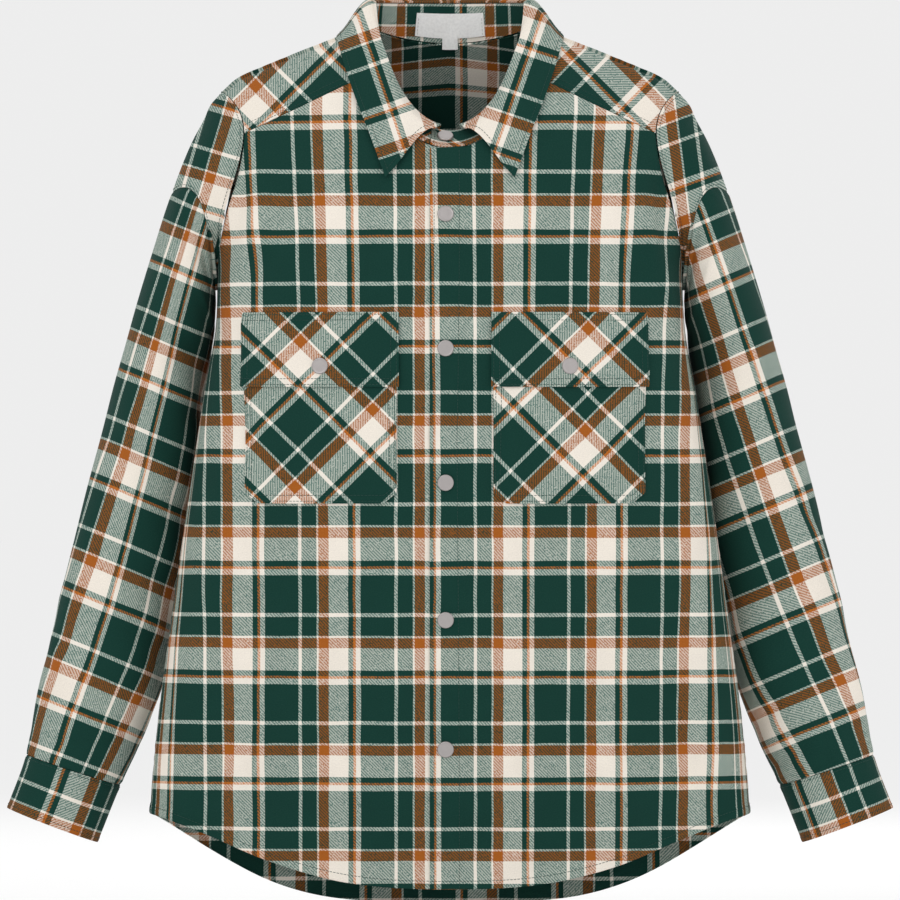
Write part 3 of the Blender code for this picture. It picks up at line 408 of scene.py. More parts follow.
# Points and normals along a line at one distance from an edge of a grid.
def lineAt(grid, normals, side, offset):
    distance = edgeDistances(grid)[side]
    if side in ("left", "right"):
        distance, grid, normals = distance.T, grid.transpose(1, 0, 2), normals.transpose(1, 0, 2)
    if side in ("right", "top"):
        distance, grid, normals = distance[::-1], grid[::-1], normals[::-1]
    index = np.clip((distance < offset).sum(axis=0), 1, len(distance) - 1)
    run = np.arange(distance.shape[1])
    low, high = distance[index - 1, run], distance[index, run]
    share = np.clip((offset - low) / np.maximum(high - low, 1e-9), 0, 1)[:, None]
    place = grid[index - 1, run] * (1 - share) + grid[index, run] * share
    return place, normals[index - 1, run] * (1 - share) + normals[index, run] * share


stitch = {
    "length": 2.5 * mm, "pitch": 3.3 * mm, "radius": 0.26 * mm, "firstAt": 0.3,
    # share of its length, height over the cloth
    "hump": ((0.0, -0.12 * mm), (0.5, 0.20 * mm), (1.0, -0.12 * mm)),
}


# A column for each of a path's values, read at lengths along it.
def valuesAt(at, length, values):
    return np.stack([np.interp(at, length, values[:, k]) for k in range(values.shape[1])], axis=-1)


# Vectors over their own lengths.
def unit(vectors):
    return vectors / np.maximum(np.linalg.norm(vectors, axis=-1, keepdims=True), 1e-9)


# Stitches as short humped threads: three four-sided sections each, low where the needle went in.
def stitchMesh(name, rows, material):
    points, faces = [], []
    loops = [[k + s, k + (s + 1) % 4, k + 4 + (s + 1) % 4, k + 4 + s] for k in (0, 4) for s in range(4)]
    loops = np.array(loops + [[3, 2, 1, 0], [8, 9, 10, 11]])
    for place, normal in rows:
        length = lengthAlong(place)
        count = int((length[-1] - stitch["length"]) / stitch["pitch"])
        if count < 1:
            continue
        starts = (np.arange(count) + stitch["firstAt"]) * stitch["pitch"]
        sections = []
        for share, lift in stitch["hump"]:
            at = starts + share * stitch["length"]
            up = unit(valuesAt(at, length, normal))
            ahead = valuesAt(at, length, np.gradient(place, length, axis=0))
            beside = unit(np.cross(ahead, up))
            middle = valuesAt(at, length, place) + up * lift
            sections.append(np.stack([middle + stitch["radius"] * way for way in (beside, up, -beside, -up)], axis=1))
        block = np.stack(sections, axis=1)
        base = sum(len(part) for part in points) + np.arange(count)[:, None] * 12
        points.append(block.reshape(-1, 3))
        faces.append((base[:, :, None] + loops[None]).reshape(-1, 4))
    places, loops = np.concatenate(points), np.concatenate(faces)
    piece = addMesh(name, places, loops.tolist(), places[loops.ravel()][:, [0, 2]], material, sharp=80)


# Materials. Thread colours are linear values, and each chart gives a band's width in photograph pixels.
threads = {
    "green": (0.0052, 0.0400, 0.0300), "cream": (0.850, 0.785, 0.695), "brown": (0.370, 0.105, 0.014),
    "orange": (0.560, 0.175, 0.028), "pale": (0.830, 0.775, 0.690),
}
bandOrder = ("brown", "cream", "green", "orange", "pale", "green", "pale", "green", "pale")
charts = {
    "warp": (10, 20, 5, 2.5, 5, 34.5, 3.5, 15.2, 2),
    "weft": (10, 22.5, 5.5, 2.5, 6, 37.5, 4, 18.5, 2.5),
}
chartPeriod = {name: sum(widths) for name, widths in charts.items()}


# A shader node with its settings, and a value or a link for each socket.
def addNode(tree, kind, sockets, **settings):
    node = tree.nodes.new("ShaderNode" + kind)
    for name, value in settings.items():
        setattr(node, name, value)
    for socket, value in sockets.items():
        if isinstance(value, bpy.types.NodeSocket):
            tree.links.new(value, node.inputs[socket])
        else:
            node.inputs[socket].default_value = value
    return node


def mathNode(tree, operation, *values):
    return addNode(tree, "Math", dict(enumerate(values)), operation=operation).outputs[0]


def mixNode(tree, blend, factor, first, second):
    first, second = ((*value, 1.0) if isinstance(value, tuple) else value for value in (first, second))
    sockets = {0: factor, 6: first, 7: second}
    return addNode(tree, "Mix", sockets, data_type="RGBA", blend_type=blend).outputs[2]


def noiseNode(tree, vector, scale, detail, output="Fac"):
    return addNode(tree, "TexNoise", {"Vector": vector, "Scale": scale, "Detail": detail}).outputs[output]


def brightened(tree, colour, light):
    return addNode(tree, "HueSaturation", {"Color": colour, "Value": light}).outputs["Color"]


# Each group reads a place on the surface, and puts out a colour, a roughness and a normal.
groupOutputs = {
    "Colour": ("NodeSocketColor", "Base Color"), "Roughness": ("NodeSocketFloat", "Roughness"),
    "Normal": ("NodeSocketVector", "Normal"),
}


def newGroup(name, *colours):
    tree = bpy.data.node_groups.new(name, "ShaderNodeTree")
    tree.interface.new_socket("Place", in_out="INPUT", socket_type="NodeSocketVector")
    for label in colours:
        tree.interface.new_socket(label, in_out="INPUT", socket_type="NodeSocketColor")
    for label, (kind, _) in groupOutputs.items():
        tree.interface.new_socket(label, in_out="OUTPUT", socket_type=kind)
    return tree, tree.nodes.new("NodeGroupInput").outputs


def finishGroup(tree, colour, roughness, height, strength, depth):
    bump = addNode(tree, "Bump", {"Strength": strength, "Distance": depth, "Height": height})
    result = tree.nodes.new("NodeGroupOutput")
    for label, value in zip(groupOutputs, (colour, roughness, bump.outputs["Normal"])):
        tree.links.new(value, result.inputs[label])
    return tree


# One thread system of the check: the place in its repeat picks the band's colour.
def bandRamp(tree, place, chart):
    node = tree.nodes.new("ShaderNodeValToRGB")
    node.color_ramp.interpolation = "CONSTANT"
    starts = np.concatenate(([0.0], np.cumsum(charts[chart])[:-1])) / chartPeriod[chart]
    while len(node.color_ramp.elements) < len(starts):
        node.color_ramp.elements.new(0.5)
    for element, start, colour in zip(node.color_ramp.elements, starts, bandOrder):
        element.position = float(start)
        element.color = (*threads[colour], 1.0)
    tree.links.new(place, node.inputs["Fac"])
    return node.outputs["Color"]


weave = {
    # darker: the share of painted shade between the threads, toward the darker thread where their colours differ.
    "thread": 0.76 * mm, "wobbleScale": 26.0, "wobble": 1.4 * mm, "slips": 0.07, "shown": (0.66, 0.17), "darker": 0.24,
    "greened": 0.24, "greenTint": (0.12, 0.38, 0.33), "hairScale": 900.0, "hairLight": (0.34, 0.83), "hairHeight": 1.2,
    "patchScale": 34.0, "patchLight": (0.16, 0.92), "haze": 0.04, "hazeColour": (0.42, 0.44, 0.42),
    "roughness": (0.18, 0.78), "bump": 0.45, "bumpDepth": 0.16 * mm,
}


# Woven check: bands of both thread systems, shown in turn by a 2/2 twill, drawn a little toward the darker thread
# where they differ as painted shade between the threads, greener where cream crosses green, with soft hairs over it.
def plaidGroup():
    tree, given = newGroup("wovenCheck")
    place = given["Place"]
    wobble = noiseNode(tree, place, weave["wobbleScale"], 1.0, "Color")
    amount = (weave["wobble"], weave["wobble"], 0.0)
    shifted = addNode(tree, "VectorMath", {0: wobble, 1: amount, 2: place}, operation="MULTIPLY_ADD").outputs[0]
    parts = addNode(tree, "SeparateXYZ", {0: shifted}).outputs
    colours, counts = [], []
    for value, chart in ((parts[0], "warp"), (parts[1], "weft")):
        turn = mathNode(tree, "DIVIDE", value, chartPeriod[chart] * frontPixel)
        colours.append(bandRamp(tree, mathNode(tree, "FRACT", turn), chart))
        counts.append(mathNode(tree, "DIVIDE", value, weave["thread"]))
    warpStep, weftStep = (mathNode(tree, "FLOOR", count) for count in counts)
    steps = mathNode(tree, "FLOORED_MODULO", mathNode(tree, "SUBTRACT", warpStep, weftStep), 4.0)
    cell = addNode(tree, "CombineXYZ", {0: warpStep, 1: weftStep}).outputs[0]
    chance = addNode(tree, "TexWhiteNoise", {"Vector": cell}).outputs["Value"]
    slip = mathNode(tree, "LESS_THAN", chance, weave["slips"])
    warpOver = mathNode(tree, "SUBTRACT", mathNode(tree, "LESS_THAN", steps, 1.5), slip)
    warpOver = mathNode(tree, "ABSOLUTE", warpOver)
    shown = mathNode(tree, "MULTIPLY_ADD", warpOver, *weave["shown"])
    darker = mixNode(tree, "DARKEN", 1.0, *colours)
    lighter = mixNode(tree, "LIGHTEN", 1.0, *colours)
    woven = mixNode(tree, "MIX", shown, colours[1], colours[0])
    # Painted shade between the threads: where the two colours differ, a share of the darker one is mixed in.
    woven = mixNode(tree, "MIX", weave["darker"], woven, darker)
    # Cream over green: much blue in the lighter thread and little red in the darker one.
    greened = weave["greened"]
    for colour, channel, low, high in ((lighter, 2, 0.2, 0.6), (darker, 0, 0.2, 0.02)):
        split = addNode(tree, "SeparateColor", {0: colour}).outputs[channel]
        span = addNode(tree, "MapRange", {"Value": split, "From Min": low, "From Max": high}).outputs[0]
        greened = mathNode(tree, "MULTIPLY", span, greened)
    woven = mixNode(tree, "MIX", greened, woven, weave["greenTint"])
    hairs = noiseNode(tree, place, weave["hairScale"], 3.0)
    patchLight = mathNode(tree, "MULTIPLY_ADD", noiseNode(tree, place, weave["patchScale"], 3.0), *weave["patchLight"])
    light = mathNode(tree, "MULTIPLY", mathNode(tree, "MULTIPLY_ADD", hairs, *weave["hairLight"]), patchLight)
    haze = mathNode(tree, "MULTIPLY", mathNode(tree, "POWER", hairs, 3.0), weave["haze"])
    hazed = mixNode(tree, "MIX", haze, brightened(tree, woven, light), weave["hazeColour"])
    ridges = []
    for count, over in zip(counts, (warpOver, mathNode(tree, "SUBTRACT", 1.0, warpOver))):
        wave = mathNode(tree, "SINE", mathNode(tree, "MULTIPLY", count, math.pi))
        ridges.append(mathNode(tree, "MULTIPLY", over, mathNode(tree, "ABSOLUTE", wave)))
    height = mathNode(tree, "MULTIPLY_ADD", hairs, weave["hairHeight"], mathNode(tree, "ADD", *ridges))
    roughness = mathNode(tree, "MULTIPLY_ADD", hairs, *weave["roughness"])
    return finishGroup(tree, hazed, roughness, height, weave["bump"], weave["bumpDepth"])


ribbon = {
    "pitches": (0.45 * mm, 0.30 * mm), "grainScale": 420.0, "light": (0.30, 0.85), "roughness": (0.25, 0.60),
    "bump": 0.5, "bumpDepth": 0.12 * mm,
}


# Fine stripes of a woven ribbon or a twisted thread, with small changes of colour.
def ribbonGroup():
    tree, given = newGroup("wovenRibbon", "Base")
    parts = addNode(tree, "SeparateXYZ", {0: given["Place"]}).outputs
    ribs = []
    for value, pitch in zip(parts, ribbon["pitches"]):
        ribs.append(mathNode(tree, "SINE", mathNode(tree, "MULTIPLY", value, 2 * math.pi / pitch)))
    grain = noiseNode(tree, given["Place"], ribbon["grainScale"], 3.0)
    colour = brightened(tree, given["Base"], mathNode(tree, "MULTIPLY_ADD", grain, *ribbon["light"]))
    roughness = mathNode(tree, "MULTIPLY_ADD", grain, *ribbon["roughness"])
    height = mathNode(tree, "MULTIPLY", *ribs)
    return finishGroup(tree, colour, roughness, height, ribbon["bump"], ribbon["bumpDepth"])


snapFinish = {
    "stretch": (1.0, 1500.0, 1.0), "scratchScale": 3.0, "stainScale": 160.0, "dark": (0.34, 0.315, 0.31),
    "light": (0.46, 0.43, 0.42), "roughness": (0.30, 0.22), "bump": 0.25, "bumpDepth": 0.05 * mm,
}


# Pale brushed metal: rings of fine scratches about each snap's own middle, from its UV in polar form.
def snapGroup():
    tree, given = newGroup("brushedMetal")
    place = given["Place"]
    stretched = addNode(tree, "VectorMath", {0: place, 1: snapFinish["stretch"]}, operation="MULTIPLY").outputs[0]
    scratches = noiseNode(tree, stretched, snapFinish["scratchScale"], 4.0)
    stains = noiseNode(tree, place, snapFinish["stainScale"], 3.0)
    colour = mixNode(tree, "MIX", stains, snapFinish["dark"], snapFinish["light"])
    roughness = mathNode(tree, "MULTIPLY_ADD", scratches, *snapFinish["roughness"])
    return finishGroup(tree, colour, roughness, scratches, snapFinish["bump"], snapFinish["bumpDepth"])


def newMaterial(name, values):
    material = bpy.data.materials.new(name)
    material.use_nodes = True
    shader = material.node_tree.nodes["Principled BSDF"]
    for socket, value in values.items():
        shader.inputs[socket].default_value = value
    return material, material.node_tree, shader


# A group placed on the piece's own UV, with what is the same all over set on the shader itself.
def groupMaterial(name, group, values, base=None):
    material, tree, shader = newMaterial(name, values)
    place = tree.nodes.new("ShaderNodeTexCoord").outputs["UV"]
    node = addNode(tree, "Group", {}, node_tree=group)
    tree.links.new(place, node.inputs["Place"])
    if base:
        node.inputs["Base"].default_value = (*base, 1.0)
    for label, (_, socket) in groupOutputs.items():
        tree.links.new(node.outputs[label], shader.inputs[socket])
    return material


wovenCheck, wovenRibbon = plaidGroup(), ribbonGroup()
brushed = {"Specular IOR Level": 0.08, "Sheen Weight": 0.025, "Sheen Roughness": 0.45}
smoothThread = {"Specular IOR Level": 0.25}
plaidCloth = groupMaterial("plaidCloth", wovenCheck, brushed)
biasCloth = groupMaterial("biasPlaidCloth", wovenCheck, brushed)
threadGreen = groupMaterial("sewingThread", wovenRibbon, smoothThread, (0.020, 0.060, 0.048))
labelCloth = groupMaterial("labelRibbon", wovenRibbon, smoothThread, (0.93, 0.925, 0.91))
labelThread = groupMaterial("labelThread", wovenRibbon, smoothThread, (0.55, 0.54, 0.52))
snapSteel = groupMaterial("snapMetal", snapGroup(), {"Metallic": 0.7})
finishes = {"plaid": plaidCloth, "bias_plaid": biasCloth, "label": labelCloth}
print("stage: materials")


# Chart places of a straight piece: pixels across and down from the starts of its brown bands.
def chartPlace(across, down):
    return np.stack((across, down), axis=-1) * frontPixel


# A point's place in the photograph's pixels, seen from the camera.
def pixelOf(points):
    near = camera["distance"] / (camera["distance"] + points[..., 1])
    across = originX + points[..., 0] * near / pixel
    down = originY - (camera["height"] + (points[..., 2] - camera["height"]) * near) / pixel
    return across, down


# Bias cut: the chart turned by an eighth of a turn about one crossing of brown bands.
def biasPlace(across, down, crossing, quarter=False):
    x, y = across - crossing[0], down - crossing[1]
    if quarter:
        x, y = y, -x
    return chartPlace((x + y) / math.sqrt(2) + 5, (y - x) / math.sqrt(2) + 5)


towardSide = (0.82, 1.0)


# Lengths along a grid's rows, seen from above.
def levelLengths(grid):
    steps = np.hypot(np.diff(grid[..., 0], axis=1), np.diff(grid[..., 1], axis=1))
    return np.concatenate((np.zeros((len(grid), 1)), np.cumsum(steps, axis=1)), axis=1)


# Length round the body from the middle, which takes over from the distance across toward the side.
def roundTheBody(grid, share):
    across = np.abs(grid[..., 0])
    length = across[:, :1] + levelLengths(grid)
    return across + (length - across) * ramp(*towardSide, np.abs(share))


hem = {"width": 9 * mm, "stitch": 7.5 * mm, "ripple": {front: 2.2 * mm, back: 2.4 * mm}, "rippleReach": 0.05}
fronts = {
    "rows": 230, "columns": 104, "uneven": 0.45 * mm,
    "placket": {"lift": 1.6 * mm, "ends": (0.028, 0.034), "turn": 5 * mm, "turnShare": 0.6, "groove": 0.5 * mm,
                "grooveAt": 0.0274, "grooveReach": 1.2 * mm, "stitches": (4 * mm, 27 * mm)},
    "brownAcross": {"left": 494.0, "right": 220.0}, "brownDown": 196.0,
    # The cloth isn't quite on the grain: pixels that the cross bands sink at a height, and the spread of the
    # lengthwise bands from a fixed place.
    "sinkAt": (115.0, 200.0, 310.5, 420.3, 532.0, 642.5, 750.0, 855.0),
    "sink": (-5.5, 0.0, 2.7, 2.3, 5.3, 7.0, 5.7, 2.7),
    "spreadAt": (110.0, 150.0, 275.0, 420.0, 580.0, 820.0), "spreadFrom": {"left": 48.0, "right": 30.5},
    "spread": {"left": (0.062, 0.034, -0.015, -0.035, -0.042, -0.048),
               "right": (0.060, 0.045, 0.002, -0.008, -0.014, -0.016)},
    "creases": {
        "left": (
            (0.196, -0.100, 0.212, -0.235, 0.010, -0.0035), (0.168, -0.155, 0.206, -0.265, 0.012, 0.0022),
            (0.120, -0.150, 0.196, -0.245, 0.014, -0.0016), (0.214, -0.290, 0.150, -0.430, 0.016, -0.0020),
            (0.228, -0.420, 0.170, -0.560, 0.017, 0.0020), (0.090, -0.480, 0.130, -0.700, 0.018, -0.0017),
            (0.200, -0.560, 0.240, -0.705, 0.014, -0.0028), (0.060, -0.640, 0.052, -0.772, 0.016, 0.0020),
            (0.140, -0.650, 0.160, -0.752, 0.012, 0.0022), (0.026, -0.230, 0.040, -0.380, 0.012, -0.0012),
        ),
        "right": (
            (0.194, -0.095, 0.212, -0.232, 0.011, -0.0038), (0.172, -0.150, 0.208, -0.255, 0.012, 0.0024),
            (0.130, -0.140, 0.198, -0.235, 0.015, -0.0014), (0.216, -0.310, 0.160, -0.450, 0.015, -0.0022),
            (0.226, -0.440, 0.182, -0.590, 0.016, 0.0018), (0.105, -0.500, 0.085, -0.690, 0.018, -0.0016),
            (0.190, -0.580, 0.232, -0.712, 0.014, -0.0026), (0.048, -0.630, 0.066, -0.770, 0.015, 0.0018),
            (0.150, -0.660, 0.138, -0.756, 0.012, 0.0020), (0.030, -0.420, 0.042, -0.560, 0.012, -0.0011),
        ),
    },
}


# The side seam, straight up at the end of the ring.
def sideSeam():
    return np.stack((np.ones(200), np.linspace(cut["hemSide"], cut["armholeBottom"], 200)), axis=-1)


# One front from its edge to the side seam: the outline in shares and heights, then the surface.
def frontGrid(innerX):
    right = np.concatenate((sideSeam(), armhole(front, np.linspace(math.pi, cut["yokeCorner"], 200))[1:]))
    neck = neckline(front, np.linspace(cut["overlapAngle"], cut["yokeNeck"], 120))
    corner = np.array([[float(shareAt(front, innerX, cut["neckFront"])), cut["neckFront"]]])
    top = np.concatenate((corner, neck, yokeSeam(120)[1:]))
    shares = np.linspace(float(shareAt(front, innerX, cut["hemMiddle"][front])), 1.0, 300)
    bottom = np.stack((shares, hemHeight(front, shares)), axis=-1)
    heights = np.linspace(bottom[0, 1], cut["neckFront"], 300)
    left = np.stack((shareAt(front, np.full(300, innerX), heights), heights), axis=-1)
    flat = patch(bottom, top, left, right, crowded(fronts["columns"]), crowded(fronts["rows"]))
    return bodyPoint(front, flat[..., 0], flat[..., 1]), flat[..., 0]


# The seam between a front and its yoke, straight as seen from the front.
def yokeSeam(count):
    start = neckline(front, np.array([cut["yokeNeck"]]))[0]
    end = armhole(front, np.array([cut["yokeCorner"]]))[0]
    startX = cut["neckHalf"] * math.sin(cut["yokeNeck"])
    endX = bodyPoint(front, end[0], end[1])[0]
    across = np.linspace(startX, endX, count)
    height = start[1] + (end[1] - start[1]) * (across - startX) / (endX - startX)
    return np.stack((shareAt(front, across, height), height), axis=-1)


# Smooth between its knots and level past their ends.
def levelled(knots, values, at):
    return smooth(knots, values, np.clip(at, knots[0], knots[-1]))


# A front's chart: round the body and down from its brown bands, with the cloth's own spread and sink.
def frontPlace(grid, around, side, sign):
    row = pixelOf(grid)[1]
    start = (fronts["brownAcross"][side] - originX) * frontPixel
    fixed = fronts["spreadFrom"][side] * frontPixel
    across = fixed + (around - fixed) / (1 + levelled(fronts["spreadAt"], fronts["spread"][side], row))
    top = camera["height"] + frontShare * ((originY - fronts["brownDown"]) * pixel - camera["height"])
    down = top - grid[..., 2] - levelled(fronts["sinkAt"], fronts["sink"], row) * frontPixel
    return np.stack((sign * across - start, down), axis=-1)


# The placket: a folded edge that stands up as far as its stitched groove.
def placketLift(grid):
    size, edge = fronts["placket"], edgeDistances(grid)["left"]
    raised = size["lift"] * (1 - ramp(*size["ends"], edge))
    groove = size["groove"] * bell(edge - size["grooveAt"], size["grooveReach"])
    return raised - groove + size["turnShare"] * turnedEdge(grid, ("left",), size["turn"])


# The right front is made as the mirror image of its grid, so there its inner edge lies past the middle.
def addFronts():
    for side, innerX in (("left", -cut["overlap"]), ("right", -cut["underlap"])):
        grid, share = frontGrid(innerX)
        near, sign = edgeDistances(grid), 1 if side == "left" else -1
        x, z = grid[..., 0], grid[..., 2]
        around = roundTheBody(grid, share) * np.where(x < 0, -1, 1)
        lift = creases(np.abs(x), z, fronts["creases"][side]) * (1 - np.abs(share) ** 10)
        lift += unevenness(sign * x, z, fronts["uneven"]) * ramp(0.0, 0.03, near["right"])
        ripple = np.sin(around * 66 + sign) * np.sin(around * 23 + 1.1) * (1 - share**6)
        ripple *= ramp(0.02, 0.06, np.abs(x)) * np.exp(-near["bottom"] / hem["rippleReach"])
        lift += hem["ripple"][front] * ripple
        lift += seamDip(grid, ("right", "top")) + turnedEdge(grid, ("bottom",), hem["width"])
        if side == "left":
            lift += placketLift(grid)
        outer = trimmed(grid + gridNormals(grid) * lift[..., None], ("top", "right"))
        uv = frontPlace(grid, around, side, sign)
        inner, outerSide = "left", "right"
        if side == "right":
            outer, uv, inner, outerSide = mirrored(outer), uv[:, ::-1], "right", "left"
        stitches = [("bottom", hem["stitch"])] + [(inner, offset) for offset in fronts["placket"]["stitches"]]
        addCloth("front_" + side, "plaid", outer, uv, "body", stitches, sewn=("top", outerSide))


yokes = {
    "rows": 44, "columns": 64, "crowding": 0.7, "crossing": {"left": (667.7, 111.0), "right": (255.5, 87.0)},
    "dip": 0.6 * mm, "uneven": 0.3 * mm, "stitches": (2.5 * mm, 8 * mm),
    # The shoulder point is rounded off: its depth, and how far it goes from the armhole and the shoulder seam.
    "point": (2.2 * mm, 13 * mm, 0.030),
}


# A yoke in the plane of x and the root of its depth below the shoulder line, where it has four plain edges.
def yokeGrid():
    seam = bodyPoint(front, *yokeSeam(120).T)

    def spread(path):
        points = bodyPoint(front, path[:, 0], path[:, 1])
        return np.stack((points[:, 0], np.sqrt(np.maximum(ridge(points[:, 0]) - points[:, 2], 0.0))), axis=-1)

    across = np.linspace(cut["neckHalf"], cut["armholeTopX"], 120)
    top = np.stack((across, np.zeros(120)), axis=-1)
    bottom = np.stack((seam[:, 0], np.sqrt(ridge(seam[:, 0]) - seam[:, 2])), axis=-1)
    left = spread(neckline(front, np.linspace(cut["yokeNeck"], math.pi / 2, 120)))
    right = spread(armhole(front, np.linspace(cut["yokeCorner"], 0.0, 120)))
    left[-1], right[-1] = top[0], top[-1]
    columns, rows = (crowded(yokes[name], yokes["crowding"]) for name in ("columns", "rows"))
    flat = patch(bottom, top, left, right, columns, rows)
    height = ridge(flat[..., 0]) - flat[..., 1] ** 2
    return bodyPoint(front, shareAt(front, flat[..., 0], height), height)


# Both yokes are one grid and its mirror image, with a quarter turn between their charts.
def addYokes():
    grid = yokeGrid()
    near = edgeDistances(grid)
    depth, fromArmhole, fromTop = yokes["point"]
    lift = seamDip(grid, ("right", "top", "left", "bottom"), yokes["dip"])
    lift += unevenness(grid[..., 0], grid[..., 2], yokes["uneven"])
    lift -= depth * bell(near["right"], fromArmhole) * ramp(fromTop, 0.0, near["top"])
    made = trimmed(grid + gridNormals(grid) * lift[..., None], ("top", "right", "left", "bottom"))
    stitches = [("bottom", offset) for offset in yokes["stitches"]]
    for side, outer, armholeSide in (("left", made, "right"), ("right", mirrored(made), "left")):
        uv = biasPlace(*pixelOf(outer), yokes["crossing"][side], side == "left")
        addCloth("yoke_" + side, "bias_plaid", outer, uv, "body", stitches, sewn=("top", "bottom", armholeSide))


backPiece = {
    "rows": 230, "columns": 186, "uneven": 0.45 * mm,
    # The chart's start, and how far it is drawn up at the shoulder line.
    "brownAcross": -0.0457, "brownDown": -0.0005, "drawnUp": 0.045,
    "creases": (
        (-0.150, -0.110, -0.060, -0.330, 0.018, -0.0022), (0.160, -0.120, 0.070, -0.310, 0.017, -0.0020),
        (0.030, -0.300, 0.060, -0.620, 0.020, 0.0024), (-0.060, -0.360, -0.040, -0.700, 0.019, -0.0024),
        (-0.170, -0.300, -0.140, -0.560, 0.018, 0.0022), (0.150, -0.330, 0.170, -0.600, 0.018, -0.0024),
        (0.110, -0.560, 0.120, -0.760, 0.014, 0.0024), (-0.110, -0.590, -0.090, -0.770, 0.014, 0.0022),
        (-0.196, -0.150, -0.212, -0.260, 0.010, -0.0026), (0.196, -0.150, 0.212, -0.260, 0.010, -0.0026),
        (0.000, -0.600, 0.012, -0.790, 0.014, -0.0020), (-0.215, -0.500, -0.235, -0.690, 0.014, -0.0024),
        (0.205, -0.520, 0.240, -0.690, 0.013, 0.0024), (-0.100, -0.070, 0.020, -0.100, 0.012, -0.0010),
    ),
}


# The back's outline in shares and heights, one half carried over to the other side, then its surface.
def backGrid():
    opposite = np.array((-1.0, 1.0))

    def bothSides(path):
        return np.concatenate((path[::-1], (path * opposite)[1:]))

    left = np.concatenate((sideSeam(), armhole(back, np.linspace(math.pi, 0.0, 200))[1:]))
    neck = neckline(back, np.linspace(0.0, math.pi / 2, 120))
    shoulderX = np.linspace(cut["neckHalf"], cut["armholeTopX"], 120)[1:]
    shoulder = np.stack((shareAt(back, shoulderX, ridge(shoulderX)), ridge(shoulderX)), axis=-1)
    top = bothSides(np.concatenate((neck, shoulder)))
    shares = np.linspace(0.0, 1.0, 300)
    bottom = bothSides(np.stack((shares, hemHeight(back, shares)), axis=-1))
    flat = patch(bottom, top, left, left * opposite, crowded(backPiece["columns"]), crowded(backPiece["rows"]))
    return bodyPoint(back, flat[..., 0], flat[..., 1]), flat[..., 0]


# The back's chart: round the body from its middle, and down, drawn up toward the shoulder line.
def backPlace(grid, share):
    x, z = grid[..., 0], grid[..., 2]
    length = levelLengths(grid)
    middle = np.argmin(np.abs(x), axis=1)
    around = length[np.arange(len(grid)), middle][:, None] - length
    around = x + (around - x) * ramp(*towardSide, np.abs(share))
    fall = np.clip((ridge(np.abs(x)) - z) / cut["drop"][back], 0, 1)
    down = backPiece["brownDown"] - z - backPiece["drawnUp"] * (1 - fall) ** 2.5
    return np.stack((backPiece["brownAcross"] - around, down), axis=-1)


# The back: creases, slow waves and a rippled hem that fade toward its side seams.
def addBack():
    grid, share = backGrid()
    x, z = grid[..., 0], grid[..., 2]
    lift = creases(x, z, backPiece["creases"]) + unevenness(x + 0.4, z, backPiece["uneven"])
    lift *= 1 - np.abs(share) ** 10
    ripple = np.sin(x * 58 + 0.4) * np.sin(x * 21 + 2.0) * (1 - share**6)
    lift += hem["ripple"][back] * ripple * np.exp(-edgeDistances(grid)["bottom"] / hem["rippleReach"])
    lift += seamDip(grid, ("left", "right", "top")) + turnedEdge(grid, ("bottom",), hem["width"])
    sewn = ("top", "left", "right")
    outer = trimmed(grid + gridNormals(grid) * lift[..., None], sewn)
    uv = backPlace(grid, share)
    addCloth("back", "plaid", outer, uv, "body", [("bottom", hem["stitch"])], sewn=sewn)


